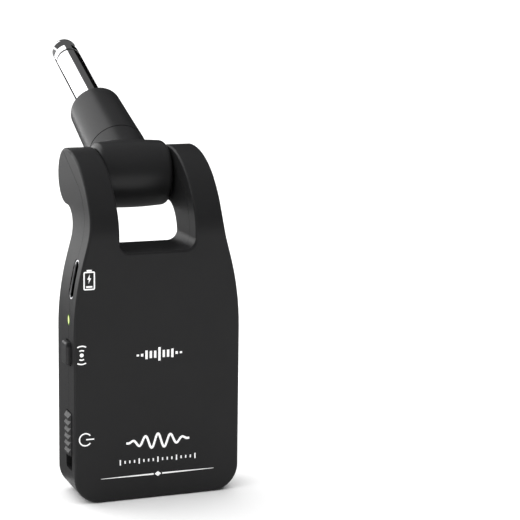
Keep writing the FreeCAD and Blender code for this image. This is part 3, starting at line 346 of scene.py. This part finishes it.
def plated_finish(name, roughness):
    """Polished plating with faint turning lines: noise squeezed along the plug."""
    material, tree, surface = shader(name)
    if tree is None:
        return material
    metal = bpy.context.scene.transmitter_arm.metal
    tilt = math.atan2(PLUG_AXIS[2], PLUG_AXIS[1])
    turned = object_places(tree, turn=(-tilt, 0, 0))
    squeeze = add_node(tree, "ShaderNodeMapping", Scale=(1, 60, 1))
    tree.links.new(turned, squeeze.inputs["Vector"])
    lines = noise(tree, squeeze.outputs["Vector"], 0.006, detail=4.0)
    smudge = noise(tree, turned, 0.004)
    dull = tuple(channel * 0.96 for channel in metal)
    tree.links.new(colour_between(tree, smudge, dull, metal), surface.inputs["Base Color"])
    tree.links.new(ramp(tree, lines, 0.3, 0.7, roughness * 0.8, roughness * 1.3),
                   surface.inputs["Roughness"])
    bump(tree, surface, lines, 0.0000006)
    surface.inputs["Metallic"].default_value = 1.0
    return material


def glowing_finish():
    """The status light: clear plastic lit from behind, brightest along its middle."""
    material, tree, surface = shader("status_glow")
    if tree is None:
        return material
    low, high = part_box("light_pipe")
    middle = (low + high) / 2
    places = tree.nodes.new("ShaderNodeTexCoord")
    offset = add_node(tree, "ShaderNodeVectorMath")
    offset.operation = "SUBTRACT"
    offset.inputs[1].default_value = middle
    share = add_node(tree, "ShaderNodeVectorMath")
    share.operation = "MULTIPLY"
    share.inputs[1].default_value = (0, 2 / (high.y - low.y), 2 / (high.z - low.z))
    away = add_node(tree, "ShaderNodeVectorMath")
    away.operation = "LENGTH"
    tree.links.new(places.outputs["Object"], offset.inputs[0])
    tree.links.new(offset.outputs["Vector"], share.inputs[0])
    tree.links.new(share.outputs["Vector"], away.inputs[0])
    lamp_glow_and_painted_glow = ramp(tree, away.outputs["Value"], 0.50, 0.85, 0.0, 1.0)
    colour = colour_between(tree, lamp_glow_and_painted_glow, (0.55, 0.72, 0.22), (0.02, 0.04, 0.002))
    tree.links.new(colour, surface.inputs["Base Color"])
    tree.links.new(colour, surface.inputs["Emission Color"])
    surface.inputs["Emission Strength"].default_value = 0.9
    surface.inputs["Roughness"].default_value = 0.25
    return material


def port_shell_with_painted_shade():
    """Nickel-plated shell of the port, bright at its mouth; its colour is darkened further in by
    painted shade.
    """
    material, tree, surface = shader("shell_nickel_painted_shade")
    if tree is None:
        return material
    mount = MOUNTS["charging_port"]
    places = tree.nodes.new("ShaderNodeTexCoord")
    depth = add_node(tree, "ShaderNodeVectorMath")
    depth.operation = "DOT_PRODUCT"
    depth.inputs[1].default_value = mount["axis"]
    tree.links.new(places.outputs["Object"], depth.inputs[0])
    mouth = float(np.dot(mount["axis"], mount["pos_m"]))
    # painted shade: the nickel's colour fades to near black from just inside the mouth inwards, where
    # the port lies in shade
    inside = ramp(tree, depth.outputs["Value"], mouth - 0.0006, mouth - 0.00035, 0.0, 1.0)
    grain = noise(tree, places.outputs["Object"], 0.0004)
    tree.links.new(colour_between(tree, inside, (0.012, 0.012, 0.012), (0.80, 0.80, 0.82)),
                   surface.inputs["Base Color"])
    tree.links.new(ramp(tree, grain, 0.3, 0.7, 0.30, 0.42), surface.inputs["Roughness"])
    surface.inputs["Metallic"].default_value = 1.0
    return material


def board_finish():
    """Green solder mask over copper tracks drawn by a brick pattern."""
    material, tree, surface = shader("solder_mask")
    if tree is None:
        return material
    places = object_places(tree, turn=(math.radians(90), 0, 0))
    tracks = add_node(tree, "ShaderNodeTexBrick", Scale=420.0, Mortar_Size=0.02)
    tree.links.new(places, tracks.inputs["Vector"])
    mask = colour_between(tree, tracks.outputs["Fac"], (0.010, 0.075, 0.030), (0.030, 0.150, 0.060))
    tree.links.new(mask, surface.inputs["Base Color"])
    bump(tree, surface, tracks.outputs["Fac"], 0.00001)
    surface.inputs["Roughness"].default_value = 0.3
    return material


def paint(material, *nodes):
    """Give CAD nodes a finish."""
    for name in nodes:
        slots = NODES[name].data.materials
        slots.clear()
        slots.append(material)


# ------------------------------------------------------------------ operators


class TRANSMITTER_OT_case(bpy.types.Operator):
    """Finish the two case shells and their screws"""

    bl_idname = "transmitter.case"
    bl_label = "Case"

    def execute(self, context):
        paint(case_finish(), "front_cover", "rear_shell")
        paint(grained("black_oxide", (0.02, 0.02, 0.022), (0.05, 0.05, 0.052), 0.38, 0.0003,
                      0.000002, metallic=1.0), "case_screws")
        return {"FINISHED"}


class TRANSMITTER_OT_inside(bpy.types.Operator):
    """Finish the board, its parts, the battery and the leads"""

    bl_idname = "transmitter.inside"
    bl_label = "Inside"

    def execute(self, context):
        paint(board_finish(), "main_circuit_board")
        paint(grained("epoxy_package", (0.02, 0.02, 0.02), (0.035, 0.035, 0.035), 0.6, 0.00015,
                      0.000004), "radio_chip", "audio_chip", "charger_chip", "power_inductor")
        paint(grained("fired_ceramic", (0.42, 0.33, 0.24), (0.55, 0.45, 0.33), 0.5, 0.0002,
                      0.000003), "board_capacitors", "chip_antenna")
        paint(grained("tinned_steel", (0.62, 0.62, 0.63), (0.75, 0.75, 0.76), 0.32, 0.0006,
                      0.000002, metallic=1.0),
              "radio_shield_can", "radio_crystal", "tip_solder_lug", "ground_solder_lug")
        paint(grained("cell_laminate", (0.55, 0.56, 0.58), (0.70, 0.71, 0.73), 0.42, 0.0012,
                      0.00001, metallic=0.9), "battery_cell")
        paint(grained("cell_foam", (0.03, 0.03, 0.03), (0.06, 0.06, 0.06), 0.95, 0.0004, 0.00006),
              "battery_foam_pad")
        paint(grained("black_insulation", (0.012, 0.012, 0.012), (0.02, 0.02, 0.02), 0.5, 0.0005,
                      0.000005), "battery_lead_black", "signal_lead", "plug_lead")
        paint(grained("red_insulation", (0.40, 0.02, 0.02), (0.55, 0.03, 0.03), 0.5, 0.0005,
                      0.000005), "battery_lead_red")
        paint(grained("switch_nylon", (0.015, 0.015, 0.015), (0.025, 0.025, 0.025), 0.5, 0.0002,
                      0.000003), "battery_connector", "pair_switch_body", "pair_switch_plunger",
              "power_switch_body", "power_switch_lever")
        return {"FINISHED"}


class TRANSMITTER_OT_port(bpy.types.Operator):
    """Finish the charging port's shell, tongue and contacts"""

    bl_idname = "transmitter.port"
    bl_label = "Charging port"

    def execute(self, context):
        # the port shell's finish carries painted shade that darkens it inside the port
        paint(port_shell_with_painted_shade(), "port_shell")
        paint(grained("tongue_nylon", (0.03, 0.03, 0.03), (0.05, 0.05, 0.05), 0.45, 0.0002,
                      0.000002), "port_tongue")
        paint(grained("gold_flash", (0.80, 0.58, 0.20), (0.92, 0.70, 0.28), 0.25, 0.0003,
                      0.000001, metallic=1.0), "port_contacts")
        return {"FINISHED"}


class TRANSMITTER_OT_light(bpy.types.Operator):
    """Light up the status window and finish the lamp behind it"""

    bl_idname = "transmitter.light"
    bl_label = "Status light"

    def execute(self, context):
        paint(glowing_finish(), "light_pipe")
        paint(grained("lamp_epoxy", (0.75, 0.80, 0.55), (0.85, 0.90, 0.60), 0.3, 0.0004,
                      0.000002), "status_lamp")
        return {"FINISHED"}


class TRANSMITTER_OT_controls(bpy.types.Operator):
    """Finish the pairing button and the power slider"""

    bl_idname = "transmitter.controls"
    bl_label = "Button and slider"

    def execute(self, context):
        paint(grained("control_satin", (0.012, 0.012, 0.0125), (0.016, 0.016, 0.0165), 0.38,
                      0.0002, 0.000002, gloss=0.35), "pair_button", "power_slider")
        return {"FINISHED"}


class TRANSMITTER_OT_hinge(bpy.types.Operator):
    """Finish the hinge knuckle, pins, bushes and washers"""

    bl_idname = "transmitter.hinge"
    bl_label = "Hinge"

    def execute(self, context):
        paint(arm_finish(), "hinge_knuckle", "barrel_shell")
        paint(grained("pin_steel", (0.45, 0.45, 0.46), (0.58, 0.58, 0.59), 0.30, 0.0004,
                      0.000001, metallic=1.0), "hinge_pin_left", "hinge_pin_right")
        paint(grained("washer_black", (0.02, 0.02, 0.02), (0.03, 0.03, 0.03), 0.45, 0.0004,
                      0.000001, metallic=0.6), "friction_washer_left", "friction_washer_right")
        paint(grained("acetal", (0.60, 0.59, 0.55), (0.70, 0.69, 0.65), 0.4, 0.0004,
                      0.000002), "hinge_bush_left", "hinge_bush_right", "inner_insulator")
        return {"FINISHED"}


class TRANSMITTER_OT_plug(bpy.types.Operator):
    """Finish the quarter-inch plug"""

    bl_idname = "transmitter.plug"
    bl_label = "Plug"

    def execute(self, context):
        paint(plated_finish("sleeve_plating", 0.07), "plug_sleeve", "plug_tip")
        paint(grained("ring_black", (0.008, 0.008, 0.008), (0.014, 0.014, 0.014), 0.3, 0.0004,
                      0.000001), "insulator_ring")
        return {"FINISHED"}


class TRANSMITTER_OT_charge_mark(bpy.types.Operator):
    """Print the charging mark: a battery outline with a bolt in it"""

    bl_idname = "transmitter.charge_mark"
    bl_label = "Charging mark"

    left: bpy.props.FloatProperty(
        name="Left", description="Left edge of the battery outline",
        default=-0.01730, unit="LENGTH", precision=5)
    low: bpy.props.FloatProperty(
        name="Low", description="Lower edge of the battery outline",
        default=0.04925, unit="LENGTH", precision=5)
    wide: bpy.props.FloatProperty(
        name="Width", description="Width of the battery outline",
        default=0.00264, unit="LENGTH", precision=5)
    tall: bpy.props.FloatProperty(
        name="Height", description="Height of the battery outline",
        default=0.00415, unit="LENGTH", precision=5)

    def execute(self, context):
        line = context.scene.transmitter_print.stroke
        middle = self.left + self.wide / 2
        radius = line * 1.2
        corners = np.array([
            (self.left + self.wide - radius, self.low + radius),
            (self.left + self.wide - radius, self.low + self.tall - radius),
            (self.left + radius, self.low + self.tall - radius),
            (self.left + radius, self.low + radius)])
        quarter = math.pi / 2
        outer = np.concatenate([
            arc_line(corner, radius, (turn - 1) * quarter, turn * quarter, CORNER_STEPS)
            for turn, corner in enumerate(corners)])
        inner = np.concatenate([
            arc_line(corner, radius - line, (turn - 1) * quarter, turn * quarter, CORNER_STEPS)
            for turn, corner in enumerate(corners)])
        top = self.low + self.tall
        cap = ink_bar(middle - self.wide * 0.22, middle + self.wide * 0.22, top + line * 0.15,
                      top + line * 1.3)
        level = ink_bar(self.left + line * 2, self.left + self.wide - line * 2,
                        self.low + line * 1.8, self.low + line * 3.0)
        # the bolt: two slanted blades that meet in a short step
        bolt_x = self.wide * 0.5
        bolt_z = self.tall * 0.5
        centre = np.array([middle, self.low + self.tall * 0.60])
        shape = np.array([(0.20, 1.0), (-0.62, -0.12), (-0.10, -0.12), (-0.24, -1.0)])
        other = np.array([(0.20, 1.0), (0.10, 0.16), (0.62, 0.16), (-0.24, -1.0)])
        scale = np.array([bolt_x * 0.55, bolt_z * 0.50])
        bolt = ink_ribbon(centre + shape * scale, centre + other * scale)
        printed_mark("mark_charge", [ink_ribbon(outer, inner, around=True), cap, level, bolt])
        return {"FINISHED"}


class TRANSMITTER_OT_pair_mark(bpy.types.Operator):
    """Print the pairing mark: a dot with radio waves to both sides"""

    bl_idname = "transmitter.pair_mark"
    bl_label = "Pairing mark"

    middle: bpy.props.FloatVectorProperty(
        name="Middle", description="Place of the dot, across and up",
        size=2, default=(-0.01778, 0.03460), unit="LENGTH", precision=5)
    waves: bpy.props.IntProperty(
        name="Waves", description="Waves on each side of the dot", default=2, min=1, max=3)
    pitch: bpy.props.FloatProperty(
        name="Pitch", description="Distance from one wave to the next",
        default=0.00098, unit="LENGTH", precision=5)
    spread: bpy.props.FloatProperty(
        name="Spread", description="Half the angle that each wave spans",
        default=math.radians(29), subtype="ANGLE")

    def execute(self, context):
        line = context.scene.transmitter_print.stroke
        middle = np.array(self.middle)
        parts = [stroke_ribbon(arc_line(middle, line * 0.75, 0, math.tau, 25)[:-1],
                               line * 1.5 - 1e-6, around=True)]
        for wave in range(1, self.waves + 1):
            for way in (math.pi / 2, -math.pi / 2):
                arc = arc_line(middle, self.pitch * (wave + 0.1), way - self.spread,
                               way + self.spread, 24)
                parts.append(stroke_ribbon(arc, line))
        printed_mark("mark_pair", parts)
        return {"FINISHED"}


class TRANSMITTER_OT_power_mark(bpy.types.Operator):
    """Print the power mark: an open ring with a bar through its gap"""

    bl_idname = "transmitter.power_mark"
    bl_label = "Power mark"

    middle: bpy.props.FloatVectorProperty(
        name="Middle", description="Centre of the ring, across and up",
        size=2, default=(-0.01700, 0.01515), unit="LENGTH", precision=5)
    radius: bpy.props.FloatProperty(
        name="Radius", description="Radius of the open ring",
        default=0.00140, unit="LENGTH", precision=5)
    reach: bpy.props.FloatProperty(
        name="Bar reach", description="How far the bar reaches from the middle",
        default=0.00200, unit="LENGTH", precision=5)
    gap: bpy.props.FloatProperty(
        name="Gap", description="Half the angle of the ring's gap",
        default=math.radians(38), subtype="ANGLE")

    def execute(self, context):
        line = context.scene.transmitter_print.stroke
        middle = np.array(self.middle)
        ring = stroke_ribbon(arc_line(middle, self.radius, self.gap, math.tau - self.gap), line)
        bar = ink_bar(middle[0] + self.radius * 0.10, middle[0] + self.reach,
                      middle[1] - line / 2, middle[1] + line / 2)
        printed_mark("mark_power", [ring, bar])
        return {"FINISHED"}


class TRANSMITTER_OT_level_mark(bpy.types.Operator):
    """Print the level mark: a row of bars that swell towards the middle"""

    bl_idname = "transmitter.level_mark"
    bl_label = "Level mark"

    middle: bpy.props.FloatVectorProperty(
        name="Middle", description="Centre of the row, across and up",
        size=2, default=(0.00030, 0.03360), unit="LENGTH", precision=5)
    wide: bpy.props.FloatProperty(
        name="Width", description="Width of the row of bars",
        default=0.01120, unit="LENGTH", precision=5)
    tall: bpy.props.FloatProperty(
        name="Height", description="Height of the tallest bar",
        default=0.00310, unit="LENGTH", precision=5)
    bars: bpy.props.IntProperty(
        name="Bars", description="Number of bars", default=11, min=3)

    def execute(self, context):
        pitch = self.wide / self.bars
        places = (np.arange(self.bars) - (self.bars - 1) / 2) * pitch
        # a bar's share of the height: cos(pi * place / width), made uneven by a faster cosine
        share = np.cos(places / self.wide * math.pi) * (0.72 + 0.28 * np.cos(places / pitch * 2.2))
        parts = []
        for place, part in zip(places, share):
            x = self.middle[0] + place
            half = max(part, 0.14) * self.tall / 2
            parts.append(ink_bar(x - pitch * 0.27, x + pitch * 0.27,
                                 self.middle[1] - half, self.middle[1] + half))
        printed_mark("mark_level", parts)
        return {"FINISHED"}


class TRANSMITTER_OT_wave_mark(bpy.types.Operator):
    """Print the sound mark: a wave that fades out to both sides"""

    bl_idname = "transmitter.wave_mark"
    bl_label = "Sound mark"

    middle: bpy.props.FloatVectorProperty(
        name="Middle", description="Centre of the wave, across and up",
        size=2, default=(0.0, 0.01340), unit="LENGTH", precision=5)
    wide: bpy.props.FloatProperty(
        name="Width", description="Width of the wave",
        default=0.01500, unit="LENGTH", precision=5)
    tall: bpy.props.FloatProperty(
        name="Height", description="Height of the wave",
        default=0.00380, unit="LENGTH", precision=5)
    waves: bpy.props.FloatProperty(
        name="Waves", description="Whole waves along the width", default=5.0, min=1)
    stroke: bpy.props.FloatProperty(
        name="Stroke", description="Width of the wave's line",
        default=0.00052, unit="LENGTH", precision=5)

    def execute(self, context):
        share = np.linspace(-1, 1, WAVE_STEPS)
        # height = cos(waves * pi * share) * cos(pi * share / 2) ** 1.2, share from -1 to 1
        swell = np.cos(share * math.pi / 2) ** 1.2
        height = np.cos(share * self.waves * math.pi) * swell * (self.tall - self.stroke) / 2
        line = np.stack([self.middle[0] + share * self.wide / 2, self.middle[1] + height], axis=1)
        printed_mark("mark_sound", [stroke_ribbon(line, self.stroke)])
        return {"FINISHED"}


class TRANSMITTER_OT_rule_marks(bpy.types.Operator):
    """Print the row of ticks and the tapered rule at the foot of the case"""

    bl_idname = "transmitter.rule_marks"
    bl_label = "Ticks and rule"

    tick_height: bpy.props.FloatProperty(
        name="Ticks' height", description="Height of the ticks' middle line", default=0.00900,
        unit="LENGTH", precision=5)
    ticks: bpy.props.IntProperty(
        name="Ticks", description="Number of ticks", default=17, min=3)
    tick_reach: bpy.props.FloatProperty(
        name="Ticks' reach", description="How far the ticks reach to each side", default=0.00890,
        unit="LENGTH", precision=5)
    rule_height: bpy.props.FloatProperty(
        name="Rule's height", description="Height of the rule", default=0.00560,
        unit="LENGTH", precision=5)
    rule_reach: bpy.props.FloatProperty(
        name="Rule's reach", description="How far the rule reaches to each side", default=0.01345,
        unit="LENGTH", precision=5)

    def execute(self, context):
        line = context.scene.transmitter_print.stroke
        parts = []
        for index, x in enumerate(np.linspace(-self.tick_reach, self.tick_reach, self.ticks)):
            half = line * (2.1 if index % 4 == 0 else 1.1)
            parts.append(ink_bar(x - line * 0.5, x + line * 0.5, self.tick_height - half,
                                 self.tick_height + half))
        printed_mark("mark_ticks", parts)
        share = np.linspace(0.075, 1, 60)
        rules = []
        # each half thins outwards: width = stroke * (0.25 + (1 - share) ** 0.8)
        for side in (-1, 1):
            run = np.stack([side * share * self.rule_reach,
                            np.full_like(share, self.rule_height)], axis=1)
            rules.append(stroke_ribbon(run, line * (0.25 + 1.0 * (1 - share) ** 0.8)))
        # the bead in the middle: half height = 1.9 strokes * (1 - |share|)
        lens = np.linspace(-1, 1, 25)
        half = line * 1.9 * (1 - np.abs(lens)) + 1e-6
        x = lens * line * 2.6
        rules.append(ink_ribbon(np.stack([x, self.rule_height + half], axis=1),
                                np.stack([x, self.rule_height - half], axis=1)))
        printed_mark("mark_rule", rules)
        return {"FINISHED"}


class TRANSMITTER_OT_studio(bpy.types.Operator):
    """Set up the camera, the floor and the soft lights"""

    bl_idname = "transmitter.studio"
    bl_label = "Studio"

    def execute(self, context):
        settings = context.scene.transmitter_studio
        self.add_camera(context, settings)
        self.add_floor(settings)
        self.add_lights(settings)
        self.add_world(context, settings)
        context.scene.view_settings.view_transform = "Standard"
        return {"FINISHED"}

    def add_camera(self, context, settings):
        """The camera looks along (sin turn cos drop, cos turn cos drop, -sin drop)."""
        turn, drop = settings.camera_turn, settings.camera_drop
        ahead = Vector((math.sin(turn) * math.cos(drop), math.cos(turn) * math.cos(drop),
                        -math.sin(drop)))
        right = Vector((math.cos(turn), -math.sin(turn), 0))
        up = right.cross(ahead)
        lean, level = math.sin(settings.camera_roll), math.cos(settings.camera_roll)
        side = right * level - up * lean
        top = right * lean + up * level
        data = bpy.data.cameras.new("camera")
        data.lens = settings.lens
        data.sensor_width = SENSOR_WIDTH
        data.clip_start = 0.01
        data.clip_end = 50
        camera = bpy.data.objects.new("camera", data)
        camera.matrix_world = Matrix.Translation(settings.camera_place) @ Matrix((
            (side.x, top.x, -ahead.x), (side.y, top.y, -ahead.y),
            (side.z, top.z, -ahead.z))).to_4x4()
        context.scene.collection.objects.link(camera)
        context.scene.camera = camera

    def add_floor(self, settings):
        """A plain pale floor, large enough to fill the picture."""
        reach = 12.0
        points = [(-reach, -reach, 0), (reach, -reach, 0), (reach, reach, 0), (-reach, reach, 0)]
        floor = piece_from("floor", points, [(0, 1, 2, 3)])
        floor.location.z = -0.00005
        pale = tuple(channel * 0.98 for channel in settings.floor_colour)
        floor.data.materials.append(
            grained("floor_pale", pale, settings.floor_colour, 0.5, 0.02, 0.0, gloss=0.0))

    def add_lights(self, settings):
        """A wide overhead sun, a large soft window behind on the left and a dark flag."""
        sun = bpy.data.lights.new("overhead", "SUN")
        sun.energy = settings.overhead
        sun.angle = math.radians(120)
        overhead = bpy.data.objects.new("overhead", sun)
        overhead.rotation_euler = (math.radians(-8), math.radians(-12), 0)
        overhead.visible_glossy = False
        bpy.context.scene.collection.objects.link(overhead)
        window = bpy.data.lights.new("window", "AREA")
        window.shape = "RECTANGLE"
        window.size, window.size_y = 1.45, 1.15
        window.energy = settings.window
        lamp = bpy.data.objects.new("window", window)
        lamp.location = (-0.76, 0.72, 0.50)
        lamp.rotation_euler = Vector((0, -0.93, -0.37)).to_track_quat("-Z", "Y").to_euler()
        lamp.visible_camera = False
        bpy.context.scene.collection.objects.link(lamp)
        self.add_card("flag", settings.flag_grey, [
            (0.10, 0.50, 0.0), (0.60, 0.50, 0.0), (0.60, 0.50, 0.47), (0.10, 0.50, 0.47),
            (-0.115, 0.50, 0.0), (0.0999, 0.50, 0.0), (0.0999, 0.50, 0.044),
            (-0.115, 0.50, 0.044)])
        self.add_card("ground_flag", settings.ground_grey, [
            (-0.40, 0.009, 0.0005), (0.15, 0.009, 0.0005), (0.15, 0.49, 0.0005),
            (-0.40, 0.49, 0.0005)])

    def add_card(self, name, grey, corners):
        """Cards that only glossy reflections see, four corners to each."""
        faces = np.arange(len(corners)).reshape(-1, 4)
        card = piece_from(name, corners, faces.tolist())
        card.data.materials.append(
            grained(name, (grey * 0.9,) * 3, (grey,) * 3, 0.9, 0.01, 0.0, gloss=0.0))
        card.visible_camera = False
        card.visible_diffuse = False
        card.visible_shadow = False

    def add_world(self, context, settings):
        """White to the camera, and a dim grey room to everything else."""
        world = bpy.data.worlds.new("room")
        world.use_nodes = True
        tree = world.node_tree
        tree.nodes.clear()
        output = tree.nodes.new("ShaderNodeOutputWorld")
        path = tree.nodes.new("ShaderNodeLightPath")
        mix = tree.nodes.new("ShaderNodeMixShader")
        room = add_node(tree, "ShaderNodeBackground", Color=(1, 1, 1, 1),
                        Strength=settings.surround)
        white = add_node(tree, "ShaderNodeBackground", Color=(1, 1, 1, 1), Strength=1.0)
        tree.links.new(path.outputs["Is Camera Ray"], mix.inputs["Fac"])
        tree.links.new(room.outputs["Background"], mix.inputs[1])
        tree.links.new(white.outputs["Background"], mix.inputs[2])
        tree.links.new(mix.outputs["Shader"], output.inputs["Surface"])
        context.scene.world = world


class TRANSMITTER_PT_panel(bpy.types.Panel):
    """Lists the pieces in the order in which they are made"""

    bl_idname = "TRANSMITTER_PT_panel"
    bl_label = "Transmitter"
    bl_space_type = "VIEW_3D"
    bl_region_type = "UI"
    bl_category = "Transmitter"

    def draw(self, context):
        for operator in OPERATORS:
            self.layout.operator(operator.bl_idname)
        for name in SETTINGS:
            box = self.layout.box()
            group = getattr(context.scene, name)
            for key in type(group).__annotations__:
                box.prop(group, key)


SETTINGS = {
    "transmitter_studio": StudioSettings,
    "transmitter_case": CaseSettings,
    "transmitter_print": PrintSettings,
    "transmitter_arm": ArmSettings,
}
OPERATORS = (
    TRANSMITTER_OT_studio,
    TRANSMITTER_OT_case,
    TRANSMITTER_OT_inside,
    TRANSMITTER_OT_port,
    TRANSMITTER_OT_light,
    TRANSMITTER_OT_controls,
    TRANSMITTER_OT_hinge,
    TRANSMITTER_OT_plug,
    TRANSMITTER_OT_charge_mark,
    TRANSMITTER_OT_pair_mark,
    TRANSMITTER_OT_power_mark,
    TRANSMITTER_OT_level_mark,
    TRANSMITTER_OT_wave_mark,
    TRANSMITTER_OT_rule_marks,
)


def register():
    for settings in SETTINGS.values():
        bpy.utils.register_class(settings)
    for name, settings in SETTINGS.items():
        setattr(bpy.types.Scene, name, bpy.props.PointerProperty(type=settings))
    for operator in OPERATORS:
        bpy.utils.register_class(operator)
    bpy.utils.register_class(TRANSMITTER_PT_panel)


def unregister():
    bpy.utils.unregister_class(TRANSMITTER_PT_panel)
    for operator in reversed(OPERATORS):
        bpy.utils.unregister_class(operator)
    for name, settings in SETTINGS.items():
        delattr(bpy.types.Scene, name)
        bpy.utils.unregister_class(settings)


def main():
    register()
    for operator in OPERATORS:
        family, action = operator.bl_idname.split(".")
        getattr(getattr(bpy.ops, family), action)()


if __name__ == "__main__":
    main()
